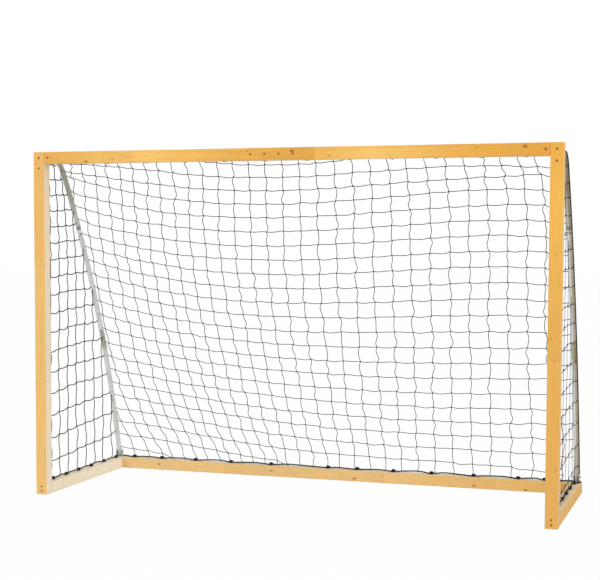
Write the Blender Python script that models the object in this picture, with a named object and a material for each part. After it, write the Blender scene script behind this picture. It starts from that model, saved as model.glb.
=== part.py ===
"""A free-standing timber goal with a bent steel stay and a net on each side, in metres, +Z up.

The origin is on the ground in the middle of the goal's footprint. X runs along the crossbar, the mouth is open
towards -Y, and the net slopes down to the rear rail at +Y. Places along Y are written as distances behind the
front faces of the posts.
"""

from math import asin, cos, pi, radians, sin
from typing import NamedTuple

import bmesh
import bpy
from mathutils import Matrix, Vector

# Outer size of the frame, and the square section that all seven timbers share
WIDTH = 3.04
HEIGHT = 2.00
DEPTH = 1.10
TIMBER = 0.068
EDGE_ROUND = 0.003
GAP = 0.0003

# Half-lap in the crossbar: the seam on the rear face, the seam on the front face, and its screws
REAR_SEAM_X = -0.305
FRONT_SEAM_X = 0.185
SPLICE_SCREW_SPACING = 0.082
SPLICE_SCREWS = 4

# Bent stay: outside radius, wall, and the line that its centre follows in one upright plane
STAY_X = 1.490
STAY_RADIUS = 0.015
STAY_WALL = 0.0015
STUB_Z = 1.965
BEND_RADIUS = 0.150
BOW_RADIUS = 5.80
FOOT_LEAN = radians(13.2)
FOOT_BOLT_Y = 1.0657
FOOT_BOLT_Z = 0.100
STAY_END_Z = 0.081
SEAMS_Z = (1.561, 0.905)
SPIGOT_RADIUS = 0.0129
SPIGOT_LENGTH = 0.055
JOINT_SCREW_DROP = 0.025
STAY_SIDES = 12

# Corner bracket: a flat L on the rear of the joint, with a rod that the stay slides over
PLATE_THICK = 0.004
PLATE_TOP_Z = 1.985
PLATE_BOTTOM_Z = 1.875
PLATE_ARM = 0.040
PLATE_ARM_WIDE = 0.047
PLATE_OUTER_X = 1.512
PLATE_INNER_X = 1.402
PLATE_CORNER = 0.006
ROD_RADIUS = 0.0130
ROD_LENGTH = 0.045

# Foot bracket: a U of bent plate that stands on the side rail and holds the stay's lower end
U_THICK = 0.003
U_LENGTH = 0.034
U_HEIGHT = 0.050
U_CORNER = 0.012

# Net: twine, the mesh that these solids keep, and its thicker border
TWINE = 0.004
BORDER = 0.007
BACK_COLUMNS = 14
BACK_ROWS = 12
SIDE_MESH = 0.150
NET_BOTTOM_Z = 0.0835
HEAD_ROPE_Z = 1.9385

# Border ropes, and where the one on the ground is knotted to the rails
ROPE_RADIUS = 0.0035
KNOT_SCALE = 1.9
KNOT_HALF = 0.011
ROPE_LIFT = 0.003
ROPE_SWAY = 0.004
SIDE_ROPE_X = 1.484
REAR_ROPE_Y = 1.058
SIDE_KNOTS_Y = (0.10, 0.275, 0.44, 0.64, 0.84, 1.00)
REAR_KNOTS_X = (
    -1.30, -1.218, -0.967, -0.715, -0.433, -0.043, 0.149, 0.386, 0.624, 0.890, 1.169, 1.309,
)
HEAD_ROPE_END_X = 1.380

FRONT = -DEPTH / 2
HALF_WIDTH = WIDTH / 2
POST_INNER_X = HALF_WIDTH - TIMBER
POST_MIDDLE_X = HALF_WIDTH - TIMBER / 2
ROUND_SIDES = 10


class Screw(NamedTuple):
    """A countersunk screw: head and shank radius, whole length, and how deep its head is sunk."""

    head: float
    shank: float
    length: float
    sink: float


CORNER_SCREW = Screw(head=0.006, shank=0.003, length=TIMBER + PLATE_THICK - 0.0035, sink=0.004)
SPLICE_SCREW = Screw(head=0.0055, shank=0.0025, length=0.055, sink=0.004)
RAIL_SCREW = Screw(head=0.0055, shank=0.003, length=0.125, sink=0.004)
MOUTH_RADIUS = 0.0075
BUTTON_RADIUS = 0.0055
PLAY = 0.0005

PINE = ((0.83, 0.56, 0.25, 1.0), 0.55, 0.0)
ZINC = ((0.62, 0.63, 0.61, 1.0), 0.38, 0.9)
TWINE_BLACK = ((0.025, 0.024, 0.022, 1.0), 0.8, 0.0)


def clear_scene():
    for obj in list(bpy.data.objects):
        bpy.data.objects.remove(obj)


def finish(obj, look):
    """Gives the object a material of its own."""
    colour, roughness, metallic = look
    material = bpy.data.materials.new(obj.name + "_finish")
    material.use_nodes = True
    shader = material.node_tree.nodes["Principled BSDF"]
    shader.inputs["Base Color"].default_value = colour
    shader.inputs["Roughness"].default_value = roughness
    shader.inputs["Metallic"].default_value = metallic
    obj.data.materials.append(material)
    return obj


def add(name, data):
    obj = bpy.data.objects.new(name, data)
    bpy.context.scene.collection.objects.link(obj)
    return obj


def add_mesh(name, shape):
    """Turns a bmesh into a named object with its faces pointing out."""
    bmesh.ops.recalc_face_normals(shape, faces=shape.faces)
    mesh = bpy.data.meshes.new(name)
    shape.to_mesh(mesh)
    shape.free()
    return add(name, mesh)


def smooth(obj):
    obj.data.shade_smooth()
    obj.data.set_sharp_from_angle(angle=radians(35))
    return obj


def side_name(side):
    return "left" if side < 0 else "right"


def extruded(outline, low, high):
    """A prism: the outline, given in X and Y, drawn up from low to high along Z."""
    shape = bmesh.new()
    base = shape.faces.new([shape.verts.new((x, y, low)) for x, y in outline])
    risen = bmesh.ops.extrude_face_region(shape, geom=[base])
    verts = [item for item in risen["geom"] if isinstance(item, bmesh.types.BMVert)]
    bmesh.ops.translate(shape, verts=verts, vec=(0, 0, high - low))
    return shape


def round_edges(shape, radius, segments, chosen):
    """Rounds the edges that chosen picks, such as those along a timber's length."""
    edges = [edge for edge in shape.edges if chosen(edge)]
    bmesh.ops.bevel(
        shape, geom=edges, offset=radius, segments=segments, profile=0.5, affect="EDGES"
    )


def lofted(name, rings, closed_loop=False):
    """A skin over rings of points, capped at both ends or run back into its first ring."""
    shape = bmesh.new()
    loops = [[shape.verts.new(point) for point in ring] for ring in rings]
    following = loops[1:] + (loops[:1] if closed_loop else [])
    for near, far in zip(loops, following):
        for here in range(len(near)):
            after = (here + 1) % len(near)
            shape.faces.new((near[here], far[here], far[after], near[after]))
    if not closed_loop:
        shape.faces.new(loops[0])
        shape.faces.new(loops[-1])
    return add_mesh(name, shape)


def circle(radius, height, sides=ROUND_SIDES):
    turns = [2 * pi * step / sides for step in range(sides)]
    return [(radius * cos(turn), radius * sin(turn), height) for turn in turns]


def turned(name, profile, sides=ROUND_SIDES):
    """A solid turned about its own Z from (radius, height) pairs, top to bottom."""
    return smooth(lofted(name, [circle(radius, height, sides) for radius, height in profile]))


def place(obj, position, outward):
    """Sets the object down with its Z along outward."""
    obj.location = position
    obj.rotation_mode = "QUATERNION"
    obj.rotation_quaternion = Vector(outward).to_track_quat("Z", "Y")
    return obj


def drill(pieces, cutter):
    """Cuts the cutter's shape out of each piece."""
    cutter.hide_render = True
    cutter.display_type = "WIRE"
    for piece in pieces:
        cut = piece.modifiers.new(cutter.name, "BOOLEAN")
        cut.operation = "DIFFERENCE"
        cut.object = cutter


def drive(name, screw, position, outward, pieces):
    """Puts a countersunk screw through the pieces, and bores them for it with a little clearance."""
    neck = -screw.sink - (screw.head - screw.shank)
    tip = -screw.sink - screw.length
    body = turned(
        name,
        [
            (screw.head, -screw.sink),
            (screw.shank, neck),
            (screw.shank, tip + screw.shank),
            (screw.shank * 0.4, tip),
        ],
    )
    place(finish(body, ZINC), position, outward)
    bore = turned(
        name + "_bore",
        [
            (MOUTH_RADIUS, 0.001),
            (screw.head + PLAY, -screw.sink),
            (screw.shank + PLAY, neck - PLAY),
            (screw.shank + PLAY, tip - PLAY),
        ],
    )
    drill(pieces, place(bore, position, outward))


def drive_button(name, shank, length, position, outward, pieces):
    """Puts a button-head screw on a face, with its shank through the pieces and a bore for it."""
    profile = [(shank, 0.003), (BUTTON_RADIUS, 0.0015), (BUTTON_RADIUS, 0.0), (shank, 0.0), (shank, -length)]
    place(finish(turned(name, profile), ZINC), position, outward)
    bore = turned(name + "_bore", [(shank + PLAY, 0.001), (shank + PLAY, -length - PLAY)])
    drill(pieces, place(bore, position, outward))


def timber(name, outline, low, high, along):
    """A planed timber whose long edges, which run along that axis on its outer faces, are eased."""
    shape = extruded(outline, low, high)
    faces_y = {round(min(y for _, y in outline), 5), round(max(y for _, y in outline), 5)}

    def is_long(edge):
        start, end = (vert.co for vert in edge.verts)
        run = end - start
        if abs(run[along]) < 0.99 * run.length:
            return False
        return along != 0 or round(start.y, 5) in faces_y

    round_edges(shape, EDGE_ROUND, 3, is_long)
    return finish(add_mesh(name, shape), PINE)


def rectangle(x0, x1, y0, y1):
    return [(x0, y0), (x1, y0), (x1, y1), (x0, y1)]


def make_post(side):
    xs = sorted((side * HALF_WIDTH, side * POST_INNER_X))
    return timber(side_name(side) + "_post", rectangle(*xs, FRONT, FRONT + TIMBER), 0, HEIGHT, 2)


def make_crossbar():
    """Two lengths with a long half-lap: the left one is in front there, and the right one behind."""
    low, high = HEIGHT - TIMBER, HEIGHT
    back, middle = FRONT + TIMBER, FRONT + TIMBER / 2
    end = POST_INNER_X - GAP
    left = [
        (-end, FRONT), (FRONT_SEAM_X - GAP, FRONT), (FRONT_SEAM_X - GAP, middle - GAP / 2),
        (REAR_SEAM_X, middle - GAP / 2), (REAR_SEAM_X, back), (-end, back),
    ]
    right = [
        (end, FRONT), (end, back), (REAR_SEAM_X + GAP, back), (REAR_SEAM_X + GAP, middle + GAP / 2),
        (FRONT_SEAM_X, middle + GAP / 2), (FRONT_SEAM_X, FRONT),
    ]
    return (
        timber("crossbar_left_half", left, low, high, 0),
        timber("crossbar_right_half", right, low, high, 0),
    )


def make_side_rail(side):
    xs = sorted((side * HALF_WIDTH, side * POST_INNER_X))
    outline = rectangle(*xs, FRONT + TIMBER + GAP, FRONT + DEPTH)
    return timber(side_name(side) + "_side_rail", outline, 0, TIMBER, 1)


def make_rear_rail():
    end = POST_INNER_X - GAP
    outline = rectangle(-end, end, FRONT + DEPTH - TIMBER, FRONT + DEPTH)
    return timber("rear_rail", outline, 0, TIMBER, 0)


def make_corner_bracket(side):
    """The L-shaped plate behind post and crossbar, with the rod welded on for the stay."""
    y = FRONT + TIMBER + GAP
    inner = PLATE_OUTER_X - PLATE_ARM_WIDE
    outline = [
        (PLATE_OUTER_X, PLATE_TOP_Z), (PLATE_INNER_X, PLATE_TOP_Z),
        (PLATE_INNER_X, PLATE_TOP_Z - PLATE_ARM), (inner, PLATE_TOP_Z - PLATE_ARM),
        (inner, PLATE_BOTTOM_Z), (PLATE_OUTER_X, PLATE_BOTTOM_Z),
    ]
    name = side_name(side) + "_corner_bracket"
    shape = extruded([(side * x, z) for x, z in outline], 0, PLATE_THICK)
    stand_up = Matrix.Rotation(pi / 2, 4, "X")
    bmesh.ops.transform(shape, matrix=stand_up, verts=shape.verts)
    bmesh.ops.translate(shape, verts=shape.verts, vec=(0, y + PLATE_THICK, 0))
    round_edges(shape, PLATE_CORNER, 3, lambda edge: abs(edge.verts[0].co.y - edge.verts[1].co.y) > 0.001)
    plate = finish(add_mesh(name, shape), ZINC)
    rod = turned(name + "_rod", [(ROD_RADIUS, ROD_LENGTH), (ROD_RADIUS, 0.001)], STAY_SIDES)
    place(rod, (side * STAY_X, y, STUB_Z), (0, 1, 0))
    rod.hide_render = True
    rod.display_type = "WIRE"
    weld = plate.modifiers.new("weld", "BOOLEAN")
    weld.operation = "UNION"
    weld.object = rod
    return plate


def stay_leg(z):
    """The stay's bowed leg at a height: its distance behind the front, and its lean off the vertical."""
    lean = asin(sin(FOOT_LEAN) + (z - FOOT_BOLT_Z) / BOW_RADIUS)
    return FOOT_BOLT_Y - BOW_RADIUS * (cos(FOOT_LEAN) - cos(lean)), lean


def bend_start_z():
    """The height where the bowed leg runs into the tight bend, so that the bend ends level at STUB_Z."""
    share = BEND_RADIUS / BOW_RADIUS
    rise = BEND_RADIUS * (1 - sin(FOOT_LEAN)) + share * FOOT_BOLT_Z
    return (STUB_Z - rise) / (1 - share)


def leg_stations(high, low, steps):
    """(distance behind the front, height, lean) down the leg, in equal steps of height."""
    heights = [high + (low - high) * step / steps for step in range(steps + 1)]
    return [(stay_leg(z)[0], z, stay_leg(z)[1]) for z in heights]


def bend_stations(steps):
    """The tight bend, from level at the stub down to the leg."""
    top = bend_start_z()
    y, lean = stay_leg(top)
    found = []
    for step in range(steps + 1):
        angle = pi / 2 + (lean - pi / 2) * step / steps
        drop = BEND_RADIUS * (1 - sin(angle))
        found.append((y - BEND_RADIUS * (cos(lean) - cos(angle)), STUB_Z - drop, angle))
    return found


def tube_ring(side, station, radius):
    """A ring of points square to the stay at a station, given its distance, height and lean."""
    y, z, lean = station
    across = Vector((0, cos(lean), sin(lean)))
    centre = Vector((side * STAY_X, FRONT + y, z))
    turns = [2 * pi * step / STAY_SIDES for step in range(STAY_SIDES)]
    return [centre + radius * (Vector((1, 0, 0)) * cos(t) + across * sin(t)) for t in turns]


def make_tube(name, side, stations, has_spigot):
    """A length of steel tube. Its lower end is drawn in to a spigot that fits the next length."""
    bore = STAY_RADIUS - STAY_WALL
    outside = [(station, STAY_RADIUS) for station in stations]
    inside = [(station, bore) for station in stations]
    if has_spigot:
        y, z, _ = stations[-1]
        ends = leg_stations(z, z - SPIGOT_LENGTH, 1)
        above = leg_stations(z + STAY_WALL, z, 1)[0]
        outside += [(station, SPIGOT_RADIUS) for station in ends]
        spigot_bore = SPIGOT_RADIUS - STAY_WALL
        inside = inside[:-1] + [(above, bore), (above, spigot_bore), (ends[1], spigot_bore)]
    course = outside + inside[::-1]
    rings = [tube_ring(side, station, radius) for station, radius in course]
    return finish(smooth(lofted(name, rings, closed_loop=True)), ZINC)


def make_stay(side):
    """Three lengths of tube, from the corner bracket over the bend and down to the side rail."""
    name = side_name(side) + "_stay_"
    stub = [(TIMBER + PLATE_THICK + 2 * GAP, STUB_Z, pi / 2)]
    upper = stub + bend_stations(7) + leg_stations(bend_start_z(), SEAMS_Z[0], 3)[1:]
    middle = leg_stations(SEAMS_Z[0] - GAP, SEAMS_Z[1], 5)
    lower = leg_stations(SEAMS_Z[1] - GAP, STAY_END_Z, 6)
    return (
        make_tube(name + "upper", side, upper, True),
        make_tube(name + "middle", side, middle, True),
        make_tube(name + "lower", side, lower, False),
    )


def fix_tube_joint(name, side, seam_z, tubes):
    """A button-head screw through both walls just below the seam, between the two nets."""
    z = seam_z - JOINT_SCREW_DROP
    y, lean = stay_leg(z)
    forward = Vector((0, -cos(lean), -sin(lean)))
    outward = (forward + Vector((-side, 0, 0))).normalized()
    middle = Vector((side * STAY_X, FRONT + y, z))
    drive_button(name, 0.002, 0.008, middle + outward * (STAY_RADIUS + GAP), outward, tubes)


def make_foot_bracket(side):
    """A U of bent plate, open upwards, with the stay's end between its two ears."""
    inside = STAY_RADIUS + GAP
    base = TIMBER + GAP
    y = FRONT + FOOT_BOLT_Y
    outline = [
        (-inside - U_THICK, 0), (inside + U_THICK, 0), (inside + U_THICK, U_HEIGHT),
        (inside, U_HEIGHT), (inside, U_THICK), (-inside, U_THICK), (-inside, U_HEIGHT),
        (-inside - U_THICK, U_HEIGHT),
    ]
    name = side_name(side) + "_foot_bracket"
    shape = extruded(outline, -U_LENGTH / 2, U_LENGTH / 2)
    bmesh.ops.transform(shape, matrix=Matrix.Rotation(pi / 2, 4, "X"), verts=shape.verts)
    bmesh.ops.translate(shape, verts=shape.verts, vec=(side * STAY_X, y, base))

    def is_ear_corner(edge):
        start, end = (vert.co for vert in edge.verts)
        run = end - start
        return abs(run.x) > 0.99 * run.length and min(start.z, end.z) > base + U_HEIGHT - 0.001

    round_edges(shape, U_CORNER, 3, is_ear_corner)
    return finish(add_mesh(name, shape), ZINC)


def hexagon(across_flats, height):
    """Twelve points round a hexagon, one at each corner and one at the middle of each flat."""
    found = []
    for step in range(12):
        turn = pi / 6 * step
        reach = across_flats / 2 / (1 if step % 2 else cos(pi / 6))
        found.append((reach * cos(turn), reach * sin(turn), height))
    return found


def make_foot_bolt(side, pieces):
    """A bolt along X through both ears and the stay, with a nut on the outer side."""
    inner = side * (STAY_X - STAY_RADIUS - U_THICK - 2 * GAP)
    centre = Vector((inner, FRONT + FOOT_BOLT_Y, FOOT_BOLT_Z))
    inward = Vector((-side, 0, 0))
    grip = 2 * (STAY_RADIUS + U_THICK + 2 * GAP)
    bolt = turned(
        side_name(side) + "_foot_bolt",
        [(0.003, 0.0055), (0.006, 0.0035), (0.0065, 0.0), (0.003, 0.0), (0.003, -grip - 0.0075)],
        12,
    )
    place(finish(bolt, ZINC), centre, inward)
    bore = turned(side_name(side) + "_foot_bore", [(0.0036, 0.0005), (0.0036, -grip - 0.0005)], 12)
    drill(pieces, place(bore, centre, inward))
    rings = [hexagon(0.010, 0), hexagon(0.010, 0.005), circle(0.0034, 0.005, 12), circle(0.0034, 0, 12)]
    nut = lofted(side_name(side) + "_foot_nut", rings, closed_loop=True)
    place(finish(nut, ZINC), centre - inward * grip, -inward)


def distance_along(points):
    """Each point with its distance from the first one."""
    total, found = 0.0, [0.0]
    for here, after in zip(points, points[1:]):
        total += (Vector(after) - Vector(here)).length
        found.append(total)
    return found


def point_at(points, reached, distance):
    """The point at a distance along the line."""
    for index in range(1, len(points)):
        if distance <= reached[index] or index == len(points) - 1:
            run = reached[index] - reached[index - 1]
            share = (distance - reached[index - 1]) / run
            return Vector(points[index - 1]).lerp(Vector(points[index]), share)


def make_back_net():
    """The sloping net. It is held out to the bowed legs at its sides, and hangs straight in the middle."""
    head = (FRONT + TIMBER + 2 * ROPE_RADIUS + TWINE / 2 + 4 * GAP, HEAD_ROPE_Z)
    legs = leg_stations(bend_start_z() - 0.02, NET_BOTTOM_Z, 24)
    line = [head] + [(FRONT + y, z) for y, z, _ in legs]
    reached = distance_along(line)
    half = STAY_X - STAY_RADIUS - GAP

    def hang(x, depth):
        at_side = point_at(line, reached, depth)
        in_middle = Vector(head).lerp(Vector(line[-1]), depth / reached[-1])
        place_yz = in_middle.lerp(at_side, (x / half) ** 2)
        return (x, place_yz.x, place_yz.y)

    across = [(-half, -half + BORDER)]
    step = (2 * half - BORDER) / BACK_COLUMNS
    for column in range(1, BACK_COLUMNS):
        middle = -half + BORDER / 2 + column * step
        across.append((middle - TWINE / 2, middle + TWINE / 2))
    across.append((half - BORDER, half))
    down = [(0.0, BORDER)]
    step = (reached[-1] - BORDER) / BACK_ROWS
    for row in range(1, BACK_ROWS):
        middle = BORDER / 2 + row * step
        down.append((middle - TWINE / 2, middle + TWINE / 2))
    above_foot = reached[-1] - (TIMBER + U_HEIGHT + 0.010 - NET_BOTTOM_Z)
    down.append((above_foot, above_foot))
    down.append((reached[-1] - BORDER, reached[-1]))
    shape = bmesh.new()
    xs = [x for pair in across for x in pair]
    depths = [s for pair in down for s in pair]
    del depths[-3]
    grid = [[shape.verts.new(hang(x, depth)) for x in xs] for depth in depths]
    last = len(depths) - 2
    for row in range(last + 1):
        is_gap_row = row % 2 == 1 or row == last - 1
        for column in range(len(xs) - 1):
            is_edge = column in (0, len(xs) - 2)
            if is_gap_row and column % 2 == 1 or is_edge and row >= last - 1:
                continue
            shape.faces.new(
                (
                    grid[row][column], grid[row + 1][column],
                    grid[row + 1][column + 1], grid[row][column + 1],
                )
            )
    net = finish(add_mesh("back_net", shape), TWINE_BLACK)
    thicken = net.modifiers.new("twine", "SOLIDIFY")
    thicken.thickness = TWINE
    thicken.offset = 0
    return net


def stay_front(z):
    """How far behind the front the net may reach at a height: the stay's near side, less the gap."""
    reach = STAY_RADIUS + 2 * GAP
    low, high = NET_BOTTOM_Z - 0.02, bend_start_z()
    stations = leg_stations(low, high, 40) + bend_stations(16)[::-1][1:]
    edge = [(y - reach * cos(lean), at - reach * sin(lean)) for y, at, lean in stations]
    for (y0, z0), (y1, z1) in zip(edge, edge[1:]):
        if z0 <= z <= z1:
            return y0 + (y1 - y0) * (z - z0) / (z1 - z0)
    return edge[-1][0]


def height_where(limit, low, high):
    """The height between low and high where the stay's near side comes forward to the limit."""
    for _ in range(40):
        middle = (low + high) / 2
        if stay_front(middle) > limit:
            low = middle
        else:
            high = middle
    return low


def net_hole(y0, y1, z0, z1, border):
    """The gap of one mesh, cut off along the stay where it meets it. None where little is left."""
    least = 0.012

    def limit(z):
        return stay_front(z) - border

    if limit(z0) < y0 + 2 * least:
        return None
    top = z1 if limit(z1) > y0 + least else height_where(y0 + least + border, z0, z1)
    if top < z0 + 2 * least:
        return None
    points = [(y0, z0), (min(y1, limit(z0)), z0)]
    if limit(z0) > y1 > limit(top):
        points.append((y1, height_where(y1 + border, z0, top)))
    points.append((min(y1, limit(top)), top))
    points.append((y0, top))
    return points


def side_net_outline():
    """Up the post's rear face, over its bracket, along under the stub and bend, and down the leg."""
    front, clear = TIMBER + GAP, TIMBER + PLATE_THICK + 3 * GAP
    step_z = PLATE_BOTTOM_Z - 2 * GAP
    reach = STAY_RADIUS + 2 * GAP
    outline = [(front, NET_BOTTOM_Z), (front, step_z), (clear, step_z), (clear, STUB_Z - reach)]
    for y, z, lean in bend_stations(7) + leg_stations(bend_start_z(), 0.2, 8)[1:]:
        outline.append((y - reach * cos(lean), z - reach * sin(lean)))
    outline.append((stay_front(NET_BOTTOM_Z), NET_BOTTOM_Z))
    return outline


def make_side_net(side):
    """The flat net between post, side rail and stay."""
    curve = bpy.data.curves.new(side_name(side) + "_side_net", "CURVE")
    curve.dimensions = "2D"
    curve.fill_mode = "BOTH"
    curve.extrude = TWINE / 2
    loops = [side_net_outline()]
    border = (BORDER + TWINE) / 2
    start = TIMBER + PLATE_THICK + 3 * GAP + BORDER
    z = NET_BOTTOM_Z + BORDER
    top = STUB_Z - STAY_RADIUS - BORDER
    while z < top - SIDE_MESH / 4:
        z1 = min(z + SIDE_MESH - TWINE, top)
        y = start
        while y < DEPTH:
            hole = net_hole(y, y + SIDE_MESH - TWINE, z, z1, border)
            if hole:
                loops.append(hole)
            y += SIDE_MESH
        z += SIDE_MESH
    for loop in loops:
        spline = curve.splines.new("POLY")
        spline.points.add(len(loop) - 1)
        for point, (y, height) in zip(spline.points, loop):
            point.co = (y, height, 0, 1)
        spline.use_cyclic_u = True
    net = finish(add(curve.name, curve), TWINE_BLACK)
    net.matrix_world = Matrix(
        ((0, 0, 1, side * STAY_X), (1, 0, 0, FRONT), (0, 1, 0, 0), (0, 0, 0, 1))
    )
    return net


def make_rope(name, points):
    """A rope from (place, scale) pairs. Its knots are the points of larger scale."""
    curve = bpy.data.curves.new(name, "CURVE")
    curve.dimensions = "3D"
    curve.bevel_depth = ROPE_RADIUS
    curve.bevel_resolution = 2
    curve.use_fill_caps = True
    spline = curve.splines.new("POLY")
    spline.points.add(len(points) - 1)
    for point, (where, scale) in zip(spline.points, points):
        point.co = (*where, 1)
        point.radius = scale
    return finish(add(name, curve), TWINE_BLACK)


def knotted(knots, at):
    """Rope points along a run. at gives the place for a position along it, and a sway and a lift."""
    points = []
    for index, knot in enumerate(knots):
        heading = 1 if knots[-1] > knots[0] else -1
        for offset, scale in ((-KNOT_HALF, 1.0), (0.0, KNOT_SCALE), (KNOT_HALF, 1.0)):
            lift = ROPE_RADIUS * (scale - 1)
            points.append((at(knot + heading * offset, 0.0, lift), scale))
        if index + 1 < len(knots):
            sway = ROPE_SWAY * (1 if index % 2 else -1)
            middle = (knot + knots[index + 1]) / 2
            points.append((at(middle, sway, ROPE_LIFT), 1.0))
    return points


def make_ground_rope():
    """The net's lower border: back along one side rail, across the rear rail, and forward again."""
    floor = TIMBER + GAP + ROPE_RADIUS
    outer_x = HALF_WIDTH - 0.0055
    rear_y = DEPTH - 0.0065

    def beside(side):
        return lambda y, sway, lift: (side * (SIDE_ROPE_X + sway), FRONT + y, floor + lift)

    def behind(x, sway, lift):
        return (x, FRONT + REAR_ROPE_Y + sway, floor + lift)

    def round_foot(side):
        corner = [
            (outer_x - 0.006, 1.034), (outer_x, 1.046), (outer_x, 1.080), (outer_x - 0.007, 1.090),
            (outer_x - 0.018, rear_y), (1.440, rear_y), (1.400, 1.084), (1.350, 1.064),
        ]
        return [((side * x, FRONT + y, floor), 1.0) for x, y in corner]

    start = [(beside(-1)(TIMBER + 0.006, 0.0, 0.0), 1.0)]
    end = [(beside(1)(TIMBER + 0.006, 0.0, 0.0), 1.0)]
    left = knotted(SIDE_KNOTS_Y, beside(-1))
    rear = knotted(REAR_KNOTS_X, behind)
    right = knotted(SIDE_KNOTS_Y[::-1], beside(1))
    course = start + left + round_foot(-1) + rear + round_foot(1)[::-1] + right + end
    return make_rope("ground_rope", course)


def make_head_rope():
    """The net's upper border, held along the crossbar's rear face near its lower edge."""
    back = FRONT + TIMBER + GAP + ROPE_RADIUS
    ends = (-HEAD_ROPE_END_X, HEAD_ROPE_END_X)
    return make_rope("head_rope", [((x, back, HEAD_ROPE_Z), 1.0) for x in ends])


def main():
    clear_scene()
    left_half, right_half = make_crossbar()
    rear_rail = make_rear_rail()
    forward = (0, -1, 0)
    for side in (-1, 1):
        name = side_name(side)
        post = make_post(side)
        rail = make_side_rail(side)
        half = left_half if side < 0 else right_half
        bracket = make_corner_bracket(side)
        corner = (("a", POST_MIDDLE_X, 1.966), ("b", POST_MIDDLE_X, 1.906), ("c", 1.4285, 1.966))
        for letter, x, z in corner:
            carrier = half if letter == "c" else post
            spot = (side * x, FRONT, z)
            drive(f"{name}_corner_screw_{letter}", CORNER_SCREW, spot, forward, (carrier, bracket))
        for letter, z in (("a", 0.020), ("b", 0.047)):
            spot = (side * POST_MIDDLE_X, FRONT, z)
            drive(f"{name}_foot_screw_{letter}", RAIL_SCREW, spot, forward, (post, rail))
            spot = (side * HALF_WIDTH, FRONT + DEPTH - TIMBER / 2, z)
            drive(f"{name}_rear_screw_{letter}", RAIL_SCREW, spot, (side, 0, 0), (rail, rear_rail))
        upper, middle, lower = make_stay(side)
        fix_tube_joint(f"{name}_upper_joint_screw", side, SEAMS_Z[0], (upper, middle))
        fix_tube_joint(f"{name}_lower_joint_screw", side, SEAMS_Z[1], (middle, lower))
        foot = make_foot_bracket(side)
        make_foot_bolt(side, (foot, lower))
        spot = (side * STAY_X, FRONT + FOOT_BOLT_Y, TIMBER + U_THICK + 2 * GAP)
        drive_button(f"{name}_bracket_screw", 0.0023, 0.019, spot, (0, 0, 1), (foot, rail))
        make_side_net(side)
    for index in range(SPLICE_SCREWS):
        middle = (REAR_SEAM_X + FRONT_SEAM_X) / 2
        x = middle + SPLICE_SCREW_SPACING * (index - (SPLICE_SCREWS - 1) / 2)
        spot = (x, FRONT, HEIGHT - TIMBER / 2)
        drive(f"splice_screw_{index + 1}", SPLICE_SCREW, spot, forward, (left_half, right_half))
    make_back_net()
    make_ground_rope()
    make_head_rope()


main()
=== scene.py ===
"""A free-standing soccer goal of planed pine, with two bent steel stays, black nets and their ropes.

Metres, +Z up. The mouth is open towards -Y, and X runs along the crossbar.
"""

from math import asin, comb, cos, pi, radians, sin, tau

import bmesh
import bpy
from mathutils import Matrix, Vector, noise


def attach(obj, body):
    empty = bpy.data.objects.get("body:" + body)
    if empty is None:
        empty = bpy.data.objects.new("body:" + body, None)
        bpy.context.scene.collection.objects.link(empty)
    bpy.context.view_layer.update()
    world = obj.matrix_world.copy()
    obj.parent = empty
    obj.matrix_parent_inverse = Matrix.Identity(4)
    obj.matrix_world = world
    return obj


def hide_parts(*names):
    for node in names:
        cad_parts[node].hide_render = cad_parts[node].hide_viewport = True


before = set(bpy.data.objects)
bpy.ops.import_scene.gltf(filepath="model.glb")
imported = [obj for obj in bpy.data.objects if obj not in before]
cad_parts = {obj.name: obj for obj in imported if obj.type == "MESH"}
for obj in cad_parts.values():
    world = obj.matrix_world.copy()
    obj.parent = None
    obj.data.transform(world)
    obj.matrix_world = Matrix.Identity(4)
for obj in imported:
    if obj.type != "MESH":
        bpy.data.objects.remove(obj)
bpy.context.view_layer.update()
scene = bpy.context.scene
scene.view_settings.view_transform = "Standard"

# The viewpoint: a long lens at eye height in front of the right post, about seven metres off. It looks slightly
# down and to the left, and the frame is shifted upwards as the photograph's is.
IMAGE_WIDTH = 600
FOCAL_PIXELS = 1368.54
VIEW_FROM = Vector((2.4216, -7.6507, 1.4863))
VIEW_YAW, VIEW_PITCH, VIEW_ROLL = 0.31896, -0.06605, 0.00343


def linked(name, data):
    """A new object in the scene."""
    made = bpy.data.objects.new(name, data)
    scene.collection.objects.link(made)
    return made


lens = bpy.data.cameras.new("view")
lens.sensor_width = 36.0
lens.lens = FOCAL_PIXELS / IMAGE_WIDTH * lens.sensor_width
lens.shift_x, lens.shift_y = 0.0093, 0.0708
lens.clip_end = 200.0
camera = linked("view", lens)
looking = Vector((-sin(VIEW_YAW) * cos(VIEW_PITCH), cos(VIEW_YAW) * cos(VIEW_PITCH), sin(VIEW_PITCH)))
level = Vector((cos(VIEW_YAW), sin(VIEW_YAW), 0))
to_right = cos(VIEW_ROLL) * level + sin(VIEW_ROLL) * level.cross(looking)
to_top = to_right.cross(looking)
camera.matrix_world = Matrix.Translation(VIEW_FROM) @ Matrix((to_right, to_top, -looking)).transposed().to_4x4()
scene.camera = camera

# The studio: a white room with a white floor, one broad lamp from the upper left and a weaker one from the right.
# The floor keeps a faint shadow of the goal.
ROOM_LIGHT = 0.62
FLOOR_WHITE = 0.94
FLOOR_REACH = 60.0


def feed(tree, node, sockets):
    """Sets a node's inputs, each by its name or number: to a value, or to an output that is then linked."""
    for key, value in sockets.items():
        if isinstance(value, bpy.types.NodeSocket):
            tree.links.new(value, node.inputs[key])
        else:
            node.inputs[key].default_value = value


def add_node(tree, kind, sockets=None, **settings):
    made = tree.nodes.new(kind)
    for name, value in settings.items():
        setattr(made, name, value)
    feed(tree, made, sockets or {})
    return made


def out_of(tree, kind, sockets=None, **settings):
    """The first output of a new node."""
    return add_node(tree, kind, sockets, **settings).outputs[0]


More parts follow.
